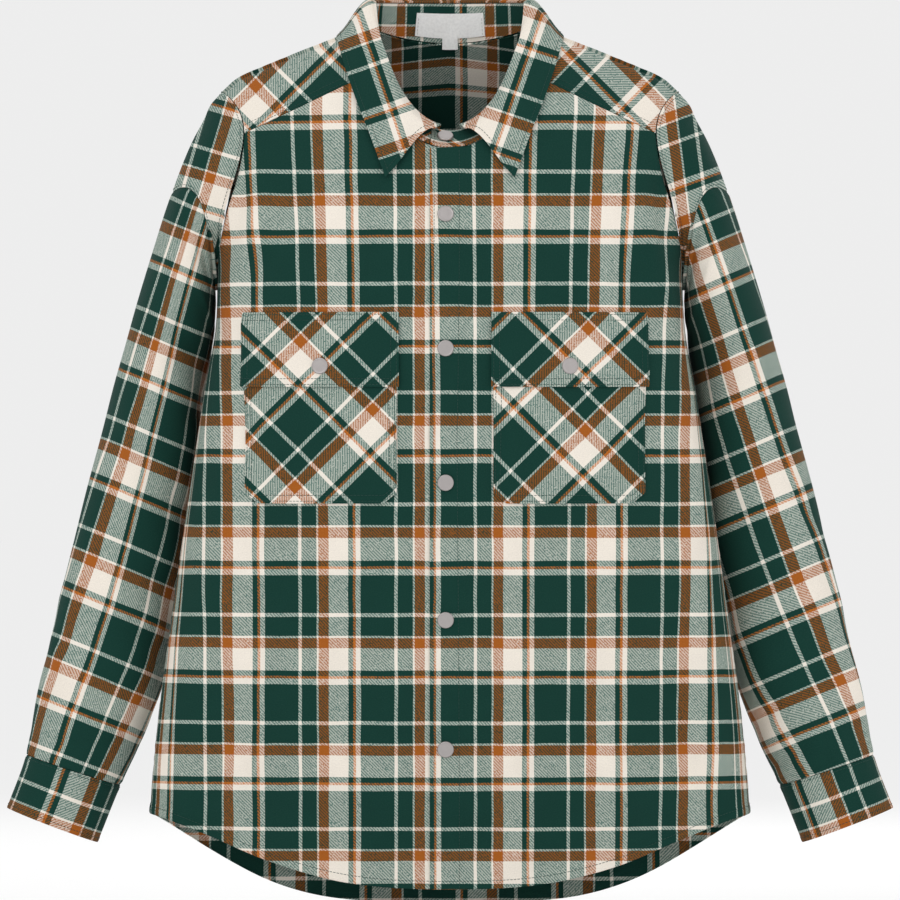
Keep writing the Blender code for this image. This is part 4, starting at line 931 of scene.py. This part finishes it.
# Arm rings from the cap down to the cuff: outer and inner edge, middle and half depth, and a shift at front and back.
arm = {
    "outerX": (0.2370, 0.2558, 0.2710, 0.2880, 0.3140, 0.3386, 0.3610, 0.3788, 0.3910, 0.4090),
    "outerZ": (-0.0900, -0.1380, -0.1820, -0.2370, -0.3290, -0.4210, -0.5130, -0.5900, -0.6560, -0.7050),
    "innerX": (0.2165, 0.2163, 0.2158, 0.2188, 0.2285, 0.2390, 0.2540, 0.2780, 0.3036, 0.3248),
    "innerZ": (-0.2190, -0.2280, -0.2450, -0.2750, -0.3600, -0.4590, -0.5550, -0.6285, -0.6845, -0.7370),
    "midY": (0.012, 0.016, 0.022, 0.032, 0.048, 0.054, 0.048, 0.038, 0.031, 0.027),
    "halfDepth": (0.069, 0.072, 0.073, 0.072, 0.068, 0.064, 0.060, 0.054, 0.044, 0.038),
    "shiftX": (-0.012, -0.008, -0.003, 0, 0, 0, 0, 0, 0, 0),
    "shiftZ": (0.022, 0.033, 0.018, 0.006, 0, 0, 0, 0, 0, 0),
    "columns": 129, "capSeam": 2, "cuffSeam": 9, "cuffEnd": 10,
    # ring, angle, reach, spread, slant, depth inward
    "folds": (
        (4.4, 2.3, 0.35, 0.9, 0.25, 0.0045), (5.6, 1.5, 0.30, 1.0, 0.25, 0.0040),
        (6.5, 2.2, 0.32, 1.1, 0.25, 0.0050), (7.6, 1.3, 0.28, 1.0, 0.25, 0.0035),
        (6.2, -1.68, 0.34, 1.0, 0.25, 0.0045), (7.3, -1.18, 0.30, 1.0, 0.25, 0.0035),
    ),
    "creases": {
        "left": (
            (2.6, 2.4, 0.20, 0.7, 0.5, 0.0026), (3.3, 2.0, 0.16, 0.8, 0.6, -0.0018),
            (4.0, 2.7, 0.18, 0.6, -0.3, 0.0024), (4.9, 1.9, 0.16, 0.8, 0.45, -0.0020),
            (5.2, 2.6, 0.15, 0.7, 0.3, 0.0030), (5.9, 2.5, 0.15, 0.8, 0.35, -0.0022),
            (6.1, 0.6, 0.14, 0.6, -0.4, 0.0016), (6.9, 1.6, 0.14, 0.9, 0.3, 0.0024),
            (7.9, 2.2, 0.13, 0.8, 0.2, 0.0022), (8.3, 1.1, 0.12, 0.8, -0.25, -0.0018),
            (8.6, 2.3, 0.11, 0.7, 0.2, 0.0018), (4.7, -1.2, 0.18, 0.8, 0.4, 0.0022),
            (5.5, -2.2, 0.15, 0.8, -0.3, 0.0026), (6.7, -1.0, 0.15, 0.9, 0.35, -0.0020),
            (7.8, -1.8, 0.14, 0.8, -0.2, 0.0022), (3.2, -1.6, 0.22, 0.8, 0.4, 0.0020),
            (8.5, -1.4, 0.11, 0.8, 0.2, 0.0016),
        ),
        "right": (
            (2.7, 2.2, 0.20, 0.7, 0.45, 0.0028), (3.5, 2.5, 0.17, 0.7, 0.5, -0.0020),
            (4.2, 2.0, 0.18, 0.8, 0.4, 0.0020), (4.8, 2.7, 0.15, 0.6, -0.3, 0.0028),
            (5.4, 1.8, 0.16, 0.9, 0.4, -0.0022), (5.8, 2.6, 0.15, 0.7, 0.3, 0.0030),
            (6.4, 1.2, 0.14, 0.7, -0.35, 0.0018), (7.1, 2.3, 0.14, 0.8, 0.25, 0.0026),
            (7.7, 0.9, 0.13, 0.8, 0.3, -0.0018), (8.1, 2.0, 0.12, 0.8, 0.2, 0.0022),
            (8.6, 1.4, 0.11, 0.8, -0.2, 0.0016), (4.4, -1.5, 0.18, 0.8, 0.4, 0.0022),
            (5.7, -1.9, 0.15, 0.8, -0.3, 0.0024), (6.6, -1.1, 0.15, 0.9, 0.35, -0.0022),
            (7.6, -2.0, 0.14, 0.8, -0.2, 0.0022), (3.4, -1.8, 0.22, 0.8, 0.4, 0.0018),
            (8.4, -1.1, 0.11, 0.8, 0.2, 0.0018),
        ),
    },
    # The chart round each sleeve: angles from the outer line to the underarm, and their places in the warp chart.
    "chartAngles": {"left": (0.0, 1.083, 1.78, 2.35, math.pi), "right": (0.0, 0.75, 1.257, 1.745, math.pi)},
    "chartPlaces": {"left": (85.0, 40.0, 5.0, -19.0, -62.0), "right": (50.0, 78.7, 102.7, 137.7, 215.0)},
    "brownDown": {"left": 232.6, "right": 221.0},
    # The lengthwise bands drift round the arm on the way down: places at the start, and per pixel below it.
    "drift": {"left": (14.0, -0.142, 247.0), "right": (-11.0, 0.090, 236.0)},
    "cuffPlace": {"left": (1.5, 45.0), "right": (28.0, -45.0)}, "cuffBrown": 9.0, "fall": 0.38,
}
armAngles = np.linspace(math.pi, -math.pi, arm["columns"])


# The armhole edge, then ellipses: middle + half span x cos and depth x sin of the angle round the arm.
def armRings():
    edge = np.zeros((len(armAngles), 3))
    for face, chosen in ((front, armAngles >= 0), (back, armAngles < 0)):
        flat = armhole(face, np.abs(armAngles[chosen]))
        points = bodyPoint(face, flat[:, 0], flat[:, 1])
        outward = points - np.array((0.0, 0.0, points[:, 2].mean()))
        edge[chosen] = points + cut["seamGap"] * outward / np.linalg.norm(outward, axis=-1, keepdims=True)
    turn, bulge = np.cos(armAngles)[None], np.sin(armAngles)[None]

    def column(name):
        return np.array(arm[name])[:, None]

    def spanned(axis):
        outer, inner = column("outer" + axis), column("inner" + axis)
        return (outer + inner) / 2 + (outer - inner) / 2 * turn + column("shift" + axis) * bulge**2

    y = column("midY") - column("halfDepth") * bulge
    return np.concatenate((edge[None], np.stack((spanned("X"), y, spanned("Z")), axis=-1)))


# A stretch of the arm between two rings, with folds that run slanting round it.
def armGrid(at, side):
    grid = smooth(np.arange(len(arm["midY"]) + 1), armRings(), at)
    inward = grid.mean(axis=1, keepdims=True) - grid
    inward /= np.linalg.norm(inward, axis=-1, keepdims=True)
    total = np.zeros(grid.shape[:2])
    for ring, angle, reach, spread, slant, depth in arm["folds"] + arm["creases"][side]:
        turn = (armAngles[None] - angle + math.pi) % (2 * math.pi) - math.pi
        total += depth * np.exp(-(((at[:, None] - ring - slant * turn) / reach) ** 2) - (turn / spread) ** 2)
    return grid + total[..., None] * inward


# A sleeve's chart: round it by angle with a drift on the way down, and down along bands that fall toward the body.
def sleevePlace(grid, side):
    x, y = pixelOf(grid)
    outer = np.argmin(np.abs(armAngles))
    order = np.argsort(y[:, outer])
    away = np.abs(x - np.interp(y, y[order, outer], x[order, outer]))
    down = y - arm["fall"] * away
    around = smooth(arm["chartAngles"][side], arm["chartPlaces"][side], np.abs(armAngles))
    around = np.where(armAngles < 0, 2 * arm["chartPlaces"][side][0] - around, around)
    start, perPixel, top = arm["drift"][side]
    return chartPlace(around[None] + start + perPixel * (down - top), down - arm["brownDown"][side])


# A cuff's chart: arc length round from its front, and down to a brown band along its edge.
def cuffPlace(grid, side):
    middle, perTurn = arm["cuffPlace"][side]
    around = middle + perTurn * (np.abs(armAngles) - math.pi / 2)
    around = np.where(armAngles < 0, 2 * (middle - perTurn * math.pi / 2) - around, around)
    down = arm["cuffBrown"] - edgeDistances(grid)["bottom"] / frontPixel
    return chartPlace(*np.broadcast_arrays(around[None], down))


def armPlace(part, grid, side):
    if part == "sleeve":
        return sleevePlace(grid, side)
    return capPlace(grid, side) if part == "cap" else cuffPlace(grid, side)


# Caps follow the photograph's slopes: lengthwise bands lean with the arm, cross bands fall toward the body.
capCharts = {
    "right": {"across": (229.0, 115.0, 0.290, 5.0, 1), "down": (210.6, 179.0, 0.30, 5.0, 1)},
    "left": {"across": (677.0, 171.6, -0.13, 5.0, -1), "down": (718.0, 173.3, -0.36, 39.25, -1)},
}


def capPlace(grid, side):
    x, y = pixelOf(grid)
    startX, startY, lean, chart, way = capCharts[side]["across"]
    across = x - startX + lean * (y - startY)
    outer = np.argmin(np.abs(armAngles))
    across = np.where(armAngles[None] < 0, 2 * across[:, outer:outer + 1] - across, across)
    startX, startY, slope, chartDown, wayDown = capCharts[side]["down"]
    down = y - startY - slope * (x - startX)
    return chartPlace(way * across + chart, wayDown * down + chartDown)


armParts = {
    "cap": {"rings": np.linspace(arm["capSeam"], 0, 40), "seams": ("top", "bottom"),
            "stitches": (("bottom", 2.5 * mm), ("top", 3 * mm))},
    "sleeve": {"rings": arm["cuffSeam"] + (arm["capSeam"] - arm["cuffSeam"]) * crowded(190, 0.7),
               "seams": ("top", "bottom"), "stitches": ()},
    "cuff": {"rings": np.linspace(arm["cuffEnd"], arm["cuffSeam"], 40), "seams": ("top",),
             "stitches": (("bottom", 4 * mm), ("top", 2.5 * mm))},
}
# Heights of what stands out or dips on the arms, with their reach where they have one.
armLifts = {
    "dip": 0.9 * mm, "uneven": 0.35 * mm, "unevenReach": 0.05, "underarm": (0.5 * mm, 0.05),
    "gather": (0.9 * mm, 0.022), "pull": (0.5 * mm, 0.02), "shoulder": (2.4 * mm, 16 * mm, 11 * mm, 0.7),
    "cuffTurn": 4 * mm, "cuffShare": 0.8,
}


# What lifts the arm's cloth: seams, slow waves, the groove of the underarm seam, gathers above the cuff, the edge of
# the cuff, and on the cap a pull at the armhole and a rounded shoulder.
def armLift(part, grid):
    angles, near = armAngles[None], edgeDistances(grid)
    outside = np.cos(angles / 2) ** 2
    around = np.broadcast_to(angles * armLifts["unevenReach"], grid.shape[:2])
    lift = seamDip(grid, armParts[part]["seams"], armLifts["dip"])
    lift += unevenness(around, grid[..., 2], armLifts["uneven"]) * outside
    depth, reach = armLifts["underarm"]
    lift -= depth * bell(math.pi - np.abs(angles), reach)
    if part == "sleeve":
        depth, reach = armLifts["gather"]
        lift += depth * np.sin(angles * 19 + 1.5 * np.sin(angles * 5)) * np.exp(-near["bottom"] / reach) * outside
    if part == "cuff":
        lift += turnedEdge(grid, ("bottom",), armLifts["cuffTurn"]) * armLifts["cuffShare"]
    if part == "cap":
        depth, reach = armLifts["pull"]
        pulled = np.sin(angles * 15 + 0.7) * np.exp(-near["top"] / reach)
        lift += depth * pulled * np.sin(angles / 2) ** 2 * outside
        depth, middle, reach, spread = armLifts["shoulder"]
        lift += depth * bell(near["top"] - middle, reach) * bell(angles, spread)
    lift[:, 0] = lift[:, -1] = (lift[:, 0] + lift[:, -1]) / 2
    return lift


# Caps, sleeves and cuffs: each ring stretch with its lift, and its mirror image on the right.
def addArms():
    for side in ("left", "right"):
        for part, size in armParts.items():
            grid = armGrid(size["rings"], side)
            lift = armLift(part, grid)
            outer = trimmed(grid + gridNormals(grid, True) * lift[..., None], size["seams"])
            if side == "right":
                outer = outer * np.array((-1.0, 1.0, 1.0))
            uv = armPlace(part, outer, side)
            if side == "right":
                outer, uv = outer[:, ::-1], uv[:, ::-1]
            addCloth("%s_%s" % (part, side), "plaid", outer, uv, "sleeve", size["stitches"], closed=True,
                     sewn=size["seams"])


addFronts()
addYokes()
addBack()
print("stage: fronts, yokes and back")
addArms()
print("stage: arms")

collar = {
    "rollHalf": 0.0685, "lean": {front: 0.023, back: -0.002},
    "rollFront": -0.0845, "rollRise": 0.120, "rollBack": 0.0015,
    "endGap": 0.6 * mm, "raise": 0.9 * mm, "standLift": 1.4 * mm, "leafFront": math.radians(8.5),
    "edgeShare": (0.00, 0.30, 0.60, 0.80, 1.00), "edgeX": (0.0590, 0.0727, 0.0870, 0.0965, 0.1050),
    "edgeZ": (-0.1270, -0.0890, -0.0520, -0.0240, 0.0060), "backY": 0.072, "backZ": -0.006,
    "clear": 5 * mm, "seat": 2.4 * mm, "rollUp": 0.010, "out": 5 * mm, "turnUp": 1 * mm,
    "standRows": 22, "standColumns": 181, "leafRows": 40, "leafColumns": 201,
    "turn": 5.5 * mm, "turnShare": 0.55, "uneven": 0.22 * mm,
    "standStitches": (("bottom", 2.5 * mm), ("left", 3 * mm)), "leafStitch": 5 * mm,
    # Seen from the front: each tip, the way up its outer edge, and the chart there; the check runs once round the neck.
    "tip": {"left": (514.0, 176.0), "right": (386.0, 176.0)}, "edgeWay": (0.329, -0.944),
    "along": {"left": (55.1, -1.0), "right": (-19.4, 0.96)}, "edgeChart": 61.9, "behindFrom": 18, "standBrown": 24,
}


# The neck seam by angle: the front's neckline to the side, and the back's beyond it.
def collarBase(angles):
    turn = np.abs(angles)
    first = bodyPoint(front, *neckline(front, np.minimum(turn, math.pi / 2)).T)
    second = bodyPoint(back, *neckline(back, np.minimum(math.pi - turn, math.pi / 2)).T)
    points = np.where((turn <= math.pi / 2)[:, None], first, second)
    points[:, 0] = np.copysign(points[:, 0], angles)
    return points


# The stand's top: an ellipse that leans back in front, and rises with 1 - cos of the angle to the side.
def collarRoll(angles):
    turn = np.abs(angles)
    lean = np.where(turn <= math.pi / 2, collar["lean"][front], collar["lean"][back]) * np.abs(np.cos(turn))
    rise = collar["rollRise"] * np.minimum(1 - np.cos(turn), 1) + collar["rollBack"] * np.maximum(-np.cos(turn), 0)
    across = np.copysign(collar["rollHalf"] * np.sin(turn), angles)
    return np.stack((across, collarBase(angles)[:, 1] + lean, collar["rollFront"] + rise), axis=-1)


# Angles brought between minus pi and pi.
def wrapped(angles):
    return (angles + math.pi) % (2 * math.pi) - math.pi


# The stand: straight lines from the neck seam up to its top, from end to end round the neck.
def standGrid(columns, rows):
    end = math.asin(cut["overlap"] / cut["neckHalf"])
    gap = collar["endGap"] / 2 / cut["neckHalf"]
    angles = wrapped(np.linspace(gap - end, 2 * math.pi - end - gap, columns))
    base, roll = collarBase(angles), collarRoll(angles)
    return base + (roll - base) * np.linspace(0, 1, rows)[:, None, None]


# The leaf's outer edge: points in front, level behind.
def leafEdge(angles):
    turn = np.abs(angles)
    share = np.clip((turn - collar["leafFront"]) / (math.pi / 2 - collar["leafFront"]), 0, 1)
    x, z = smooth(collar["edgeShare"], collar["edgeX"], share), smooth(collar["edgeShare"], collar["edgeZ"], share)
    under = np.minimum(z, ridge(x))
    y = bodyPoint(front, shareAt(front, x, under), under)[:, 1] - collar["clear"] * (1 - share**6)
    swing = np.maximum(-np.cos(turn), 0)
    sideY = float(bodyAt("sideY", ridge(collar["edgeX"][-1])))
    behind = turn > math.pi / 2
    x = np.where(behind, collar["edgeX"][-1] * np.sin(turn), x)
    y = np.where(behind, sideY + (collar["backY"] - sideY) * swing, y)
    z = np.where(behind, collar["edgeZ"][-1] + (collar["backZ"] - collar["edgeZ"][-1]) * swing**2, z)
    return np.stack((np.copysign(x, angles), y, z), axis=-1)


# Points moved out along the stand's normals until they clear it.
def offStand(points, stand, normals):
    flat, out = stand.reshape(-1, 3), normals.reshape(-1, 3)
    nearest = np.argmin(np.linalg.norm(points[:, None] - flat[None], axis=-1), axis=1)
    reach = np.sum((points - flat[nearest]) * out[nearest], axis=-1)
    short = np.maximum(collar["out"] - reach, 0) * (nearest >= stand.shape[1])
    return points + out[nearest] * short[:, None]


# The leaf: up over the roll, then an arched fall to its edge, clear of the body and the stand.
def leafGrid():
    angles = np.linspace(collar["leafFront"], 2 * math.pi - collar["leafFront"], 61)
    signed = wrapped(angles)
    stand = standGrid(121, 13)
    standNormals = gridNormals(stand)
    base, roll, edge = collarBase(signed), collarRoll(signed), leafEdge(signed)
    around = np.gradient(roll, axis=0)
    outward = np.cross(around, roll - base)
    outward /= np.linalg.norm(outward, axis=-1, keepdims=True)
    up = np.cross(outward, around)
    up /= np.linalg.norm(up, axis=-1, keepdims=True)
    start = roll + up * collar["seat"]
    turned = start + outward * collar["out"] + up * collar["turnUp"]
    along = np.linspace(0, 1, 7)[1:] ** 1.4
    arch = collar["rollUp"] * 6.75 * along * (1 - along) ** 2
    rows = [start, turned]
    for share, rise in zip(along, arch):
        curve = start + (edge - start) * share + np.array((0, 0, rise))
        for face, chosen in ((front, np.abs(signed) <= math.pi / 2), (back, np.abs(signed) > math.pi / 2)):
            under = np.minimum(curve[:, 2], ridge(np.abs(curve[:, 0])))
            surface = bodyPoint(face, shareAt(face, curve[:, 0], under), under)[:, 1] + face * collar["clear"]
            moved = curve[:, 1] + face * np.maximum(face * (surface - curve[:, 1]), 0)
            curve[:, 1] = np.where(chosen, moved, curve[:, 1])
        rows.append(offStand(curve, stand, standNormals))
    coarse = np.array(rows)
    fine = smooth(np.arange(len(coarse)), coarse, (len(coarse) - 1) * crowded(collar["leafRows"], 0.5))
    columns = (coarse.shape[1] - 1) * crowded(collar["leafColumns"], 0.6)
    return smooth(np.arange(coarse.shape[1]), fine.transpose(1, 0, 2), columns).transpose(1, 0, 2)


# The leaf's chart: along and square to its outer edge as seen from the front, and by lengths behind the neck.
def leafPlace(leaf):
    x, y = pixelOf(leaf)
    distances = edgeDistances(leaf)
    fromEdge = distances["top"] / frontPixel
    middle = leaf.shape[1] // 2
    run = distances["left"][-10] / frontPixel
    behind = ramp(-0.012, 0.022, leaf[..., 1])
    place = np.zeros(leaf.shape[:2] + (2,))
    wayX, wayY = collar["edgeWay"]
    for side, sign in (("left", 1), ("right", -1)):
        columns = slice(0, middle) if leaf[-1, 0, 0] * sign > 0 else slice(middle, None)
        tipX, tipY = collar["tip"][side]
        dx, dy = sign * (x[:, columns] - tipX), y[:, columns] - tipY
        along, square = dx * wayX + dy * wayY, np.abs(dx * wayY - dy * wayX)
        start, rate = collar["along"][side]
        arc = np.abs(run - run[0 if columns.start == 0 else -1])[columns][None] + collar["behindFrom"]
        rear = behind[:, columns]
        place[:, columns, 0] = collar["edgeChart"] - (square * (1 - rear) + fromEdge[:, columns] * rear)
        place[:, columns, 1] = start + rate * (along * (1 - rear) + arc * rear)
    return chartPlace(place[..., 0], place[..., 1])


# The stand with the chart of the back's inside, and the leaf with its turned edges.
def addCollar():
    stand = standGrid(collar["standColumns"], collar["standRows"])
    normals = gridNormals(stand)
    lifted = trimmed(stand + normals * collar["standLift"], ("bottom",), collar["raise"])
    distances = edgeDistances(lifted)
    middle = np.argmax(lifted[0, :, 1])
    along = distances["left"] - distances["left"][:, middle:middle + 1] + backPiece["brownAcross"]
    uv = np.stack((along, distances["top"] - collar["standBrown"] * frontPixel), axis=-1)
    thick = cut["collarCloth"]
    addCloth("collar_stand", "plaid", lifted, uv, "collar", collar["standStitches"], normals, thick)
    sides = ("top", "left", "right")
    leaf = leafGrid()[:, ::-1]
    lift = turnedEdge(leaf, sides, collar["turn"]) * collar["turnShare"]
    lift += unevenness(leaf[..., 0] * 1.4, leaf[..., 2], collar["uneven"])
    leaf = leaf + gridNormals(leaf) * lift[..., None]
    stitches = [(side, collar["leafStitch"]) for side in sides]
    addCloth("collar_leaf", "plaid", leaf, leafPlace(leaf), "collar", stitches, thick=thick)
    return lifted, normals


standCloth = addCollar()
print("stage: collar")

patches = {
    "pocket": {"width": 0.138, "top": -0.288, "bottom": -0.424, "corner": 0.010, "cornerWidth": 0.0115,
               "turn": 5 * mm, "turnShare": 0.6, "sewn": ("bottom", "left", "right")},
    "flap": {"width": 0.142, "top": -0.250, "bottom": -0.318, "taper": 0.012, "hang": 0.9 * mm,
             "turn": 6 * mm, "turnShare": 0.7, "sewn": ("bottom", "left", "right", "top")},
    "middle": {"left": 0.1085, "right": -0.1175},
    "crossing": {"pocket_left": (584.7, 431.3), "flap_left": (587.2, 329.7),
                 "pocket_right": (303.5, 341.5), "flap_right": (301.5, 342.5)},
    "rows": 60, "columns": 64, "crowding": 0.75, "layer": 1.2 * mm, "uneven": 0.18 * mm,
    "stitches": (2.2 * mm, 7.5 * mm),
}


# A flap stands over its pocket below its seam, and hangs away from it in shallow waves: 0.6 + 0.4 cos across.
def flapLift(size, x, height, middle):
    over = np.clip((size["top"] - height) / size["taper"], 0, 1)
    hang = np.clip((size["top"] - height) / (size["top"] - size["bottom"]), 0, 1)
    waves = 0.6 + 0.4 * np.cos((x - middle) * 95)
    return over * (cut["layerGap"] + patches["layer"]) + size["hang"] * hang**3 * waves


# A patch lies on its front's own surface, between its outline's heights at each place across.
def addPatch(part, side, middle):
    size, name = patches[part], "%s_%s" % (part, side)
    across = middle + size["width"] * (crowded(patches["columns"], patches["crowding"]) - 0.5)
    upward = crowded(patches["rows"], patches["crowding"])[:, None]
    low = np.full(len(across), size["bottom"])
    if part == "pocket":
        fromSide = size["width"] / 2 - np.abs(across - middle)
        low = low + size["corner"] * np.maximum(1 - fromSide / size["cornerWidth"], 0)
    height = low[None] + (size["top"] - low)[None] * upward
    x = np.broadcast_to(across[None], height.shape)
    points = bodyPoint(front, shareAt(front, x, height), height)
    lift = creases(np.abs(x), height, fronts["creases"][side]) + unevenness(x, height, fronts["uneven"])
    lift += cut["patchGap"] + patches["layer"] + unevenness(x * 1.7 + 0.3, height * 1.4, patches["uneven"])
    if part == "flap":
        lift += flapLift(size, x, height, middle)
    lift += turnedEdge(points, ("bottom", "left", "right"), size["turn"]) * size["turnShare"]
    outer = points + gridNormals(points) * lift[..., None]
    uv = biasPlace(*pixelOf(points), patches["crossing"][name])
    stitches = [(edge, offset) for edge in size["sewn"] for offset in patches["stitches"]]
    addCloth(name, "bias_plaid", outer, uv, "patch", stitches)


for patchSide, patchMiddle in patches["middle"].items():
    for patchPart in ("pocket", "flap"):
        addPatch(patchPart, patchSide, patchMiddle)
print("stage: pockets and flaps")

snaps = {
    "radius": 7.5 * mm, "height": 2.0 * mm, "sides": 48,
    # radius share, height share from the cloth up over the rim to the middle
    "profile": ((0.90, 0.0), (0.985, 0.06), (1.0, 0.30), (1.0, 0.55), (0.975, 0.78), (0.93, 0.93), (0.88, 1.0),
                (0.83, 0.99), (0.79, 0.93), (0.74, 0.92), (0.50, 0.95), (0.25, 0.97), (0.02, 0.98)),
    "frontX": -0.0040, "frontHeights": (-0.161, -0.283, -0.405, -0.530, -0.648), "frontLift": 1.6 * mm,
    "flapHeight": -0.299, "flapLift": 3.5 * mm, "collarShare": 0.45, "collarColumns": 40,
}


# A turned cap: its profile swept round, with places round it and out from its middle in its UV.
def addSnap(name, seat, normal):
    normal = normal / np.linalg.norm(normal)
    sideways = np.cross(normal, (0.0, 0.0, 1.0))
    sideways /= np.linalg.norm(sideways)
    upward = np.cross(sideways, normal)
    turns = np.linspace(0, 2 * math.pi, snaps["sides"] + 1)
    circle = np.cos(turns)[:, None] * sideways - np.sin(turns)[:, None] * upward
    out, up = (column[:, None, None] for column in np.array(snaps["profile"]).T)
    out, up = out * snaps["radius"], up * snaps["height"] + cut["layerGap"]
    points = seat + up * normal + out * circle[None, :-1]
    rows, sides = len(points), snaps["sides"]
    ids = np.arange(rows)[:, None] * sides + np.arange(sides + 1) % sides
    spots = np.stack(np.broadcast_arrays(turns[None], out[..., 0]), axis=-1)
    faces = squares(ids).tolist() + [ids[0, :-1][::-1].tolist(), ids[-1, :-1].tolist()]
    uv = np.concatenate((squares(spots).reshape(-1, 2), spots[0, :-1][::-1], spots[-1, :-1]))
    piece = addMesh(name + "_cap", points.reshape(-1, 3), faces, uv, snapSteel, sharp=60)
    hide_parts(name)


# A place over the front and its normal, from a small grid round it.
def frontSpot(x, z, lift):
    step = 2 * mm * np.array((-1.0, 0.0, 1.0))
    across, height = np.meshgrid(x + step, z + step)
    grid = bodyPoint(front, shareAt(front, across, height), height)
    normal = gridNormals(grid)[1, 1]
    return grid[1, 1] + normal * lift, normal


# Snaps down the placket, on the flaps and at the end of the stand.
def addSnaps(stand, normals):
    for number, height in enumerate(snaps["frontHeights"], start=1):
        addSnap("snap_front_%d" % number, *frontSpot(snaps["frontX"], height, snaps["frontLift"]))
    for side, middle in patches["middle"].items():
        addSnap("snap_flap_" + side, *frontSpot(middle, snaps["flapHeight"], snaps["flapLift"]))
    row = int(snaps["collarShare"] * (len(stand) - 1))
    middle = np.mean(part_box("snap_collar"), axis=0)
    column = np.argmin(np.linalg.norm(stand[row, :snaps["collarColumns"]] - middle, axis=-1))
    normal = normals[row, column]
    addSnap("snap_collar", middle - normal * (cut["layerGap"] + snaps["height"] / 2), normal)


addSnaps(*standCloth)
print("stage: snaps")

labels = {
    "label": {"width": 0.069, "low": 0.14, "high": 0.76, "lift": 1.6 * mm, "columns": 60, "rows": 26,
              "stitches": (("left", 2 * mm), ("right", 2 * mm))},
    "size_tab": {"width": 0.0155, "low": -0.14, "high": 0.22, "lift": 3.0 * mm, "columns": 24, "rows": 24,
                 "stitches": ()},
}
ribbonThick, ribbonWave = 0.7 * mm, 0.15 * mm


# A ribbon on the inner face of the stand at the middle back.
def addLabels():
    for name, size in labels.items():
        reach = size["width"] / 2 / cut["neckHalf"]
        angles = wrapped(np.linspace(math.pi + reach, math.pi - reach, size["columns"]))
        base, roll = collarBase(angles), collarRoll(angles)
        grid = base + (roll - base) * np.linspace(size["low"], size["high"], size["rows"])[:, None, None]
        distances = edgeDistances(grid)
        across, upward = distances["left"], distances["bottom"]
        lift = size["lift"] + ribbonWave * np.sin(across * 210) * np.sin(upward * 260 + 1)
        outer = grid + gridNormals(grid) * lift[..., None]
        addCloth(name, "label", outer, np.stack((across, upward), axis=-1), "label", size["stitches"],
                 thick=ribbonThick, ending="_ribbon")


addLabels()
for group, slot in (("body", "plaid"), ("sleeve", "plaid"), ("collar", "plaid"), ("patch", "bias_plaid")):
    stitchMesh(group + "_stitches", lines[group], threadGreen)
stitchMesh("label_stitches", lines["label"], labelThread)
print("stage: labels and stitches")


floorSize = {"reach": 45.0, "height": -0.835}


# The stage: a pale level floor, soft lights and the camera.
def addStage():
    reach = floorSize["reach"]
    corners = ((-reach, -reach), (reach, -reach), (reach, reach), (-reach, reach))
    mesh = bpy.data.meshes.new("floor")
    mesh.from_pydata([(x, y, floorSize["height"]) for x, y in corners], [], [(0, 1, 2, 3)])
    values = {"Base Color": (1.0, 1.0, 1.0, 1.0), "Roughness": 1.0, "Specular IOR Level": 0.0}
    mesh.materials.append(newMaterial("paleFloor", values)[0])
    floor = bpy.data.objects.new("floor", mesh)
    bpy.context.collection.objects.link(floor)


lights = {
    "key": {"at": (-1.6, -3.2, 1.5), "size": 2.4, "power": 21.0},
    "fill": {"at": (2.2, -3.0, 0.4), "size": 2.6, "power": 9.0},
    "top": {"at": (0.0, 0.4, 2.6), "size": 2.6, "power": 5.0},
    "rear": {"at": (0.6, 3.0, 1.4), "size": 2.4, "power": 12.0},
}
lightAim, skyStrength = (0.0, 0.0, -0.38), 0.85


def addLights():
    for name, light in lights.items():
        lamp = bpy.data.lights.new(name, "AREA")
        lamp.shape = "DISK"
        lamp.size = light["size"]
        lamp.energy = light["power"]
        thing = bpy.data.objects.new(name, lamp)
        toward = np.array(lightAim) - np.array(light["at"])
        flat = math.hypot(toward[0], toward[1])
        thing.location = light["at"]
        thing.rotation_euler = (math.atan2(flat, -toward[2]), 0.0, math.atan2(-toward[0], toward[1]))
        bpy.context.collection.objects.link(thing)
    world = bpy.data.worlds.new("studio")
    world.use_nodes = True
    sky = world.node_tree.nodes["Background"]
    sky.inputs["Color"].default_value = (1.0, 1.0, 1.0, 1.0)
    sky.inputs["Strength"].default_value = skyStrength
    bpy.context.scene.world = world
    bpy.context.scene.view_settings.view_transform = "Standard"


def addCamera():
    lens = bpy.data.cameras.new("camera")
    lens.sensor_width = camera["sensor"]
    lens.lens = camera["sensor"] * camera["distance"] / camera["viewWidth"]
    thing = bpy.data.objects.new("camera", lens)
    thing.location = (0.0, -camera["distance"], camera["height"])
    thing.rotation_euler = (math.pi / 2, 0.0, 0.0)
    bpy.context.collection.objects.link(thing)
    bpy.context.scene.camera = thing


addStage()
addLights()
addCamera()
print("stage: floor, lights and camera")
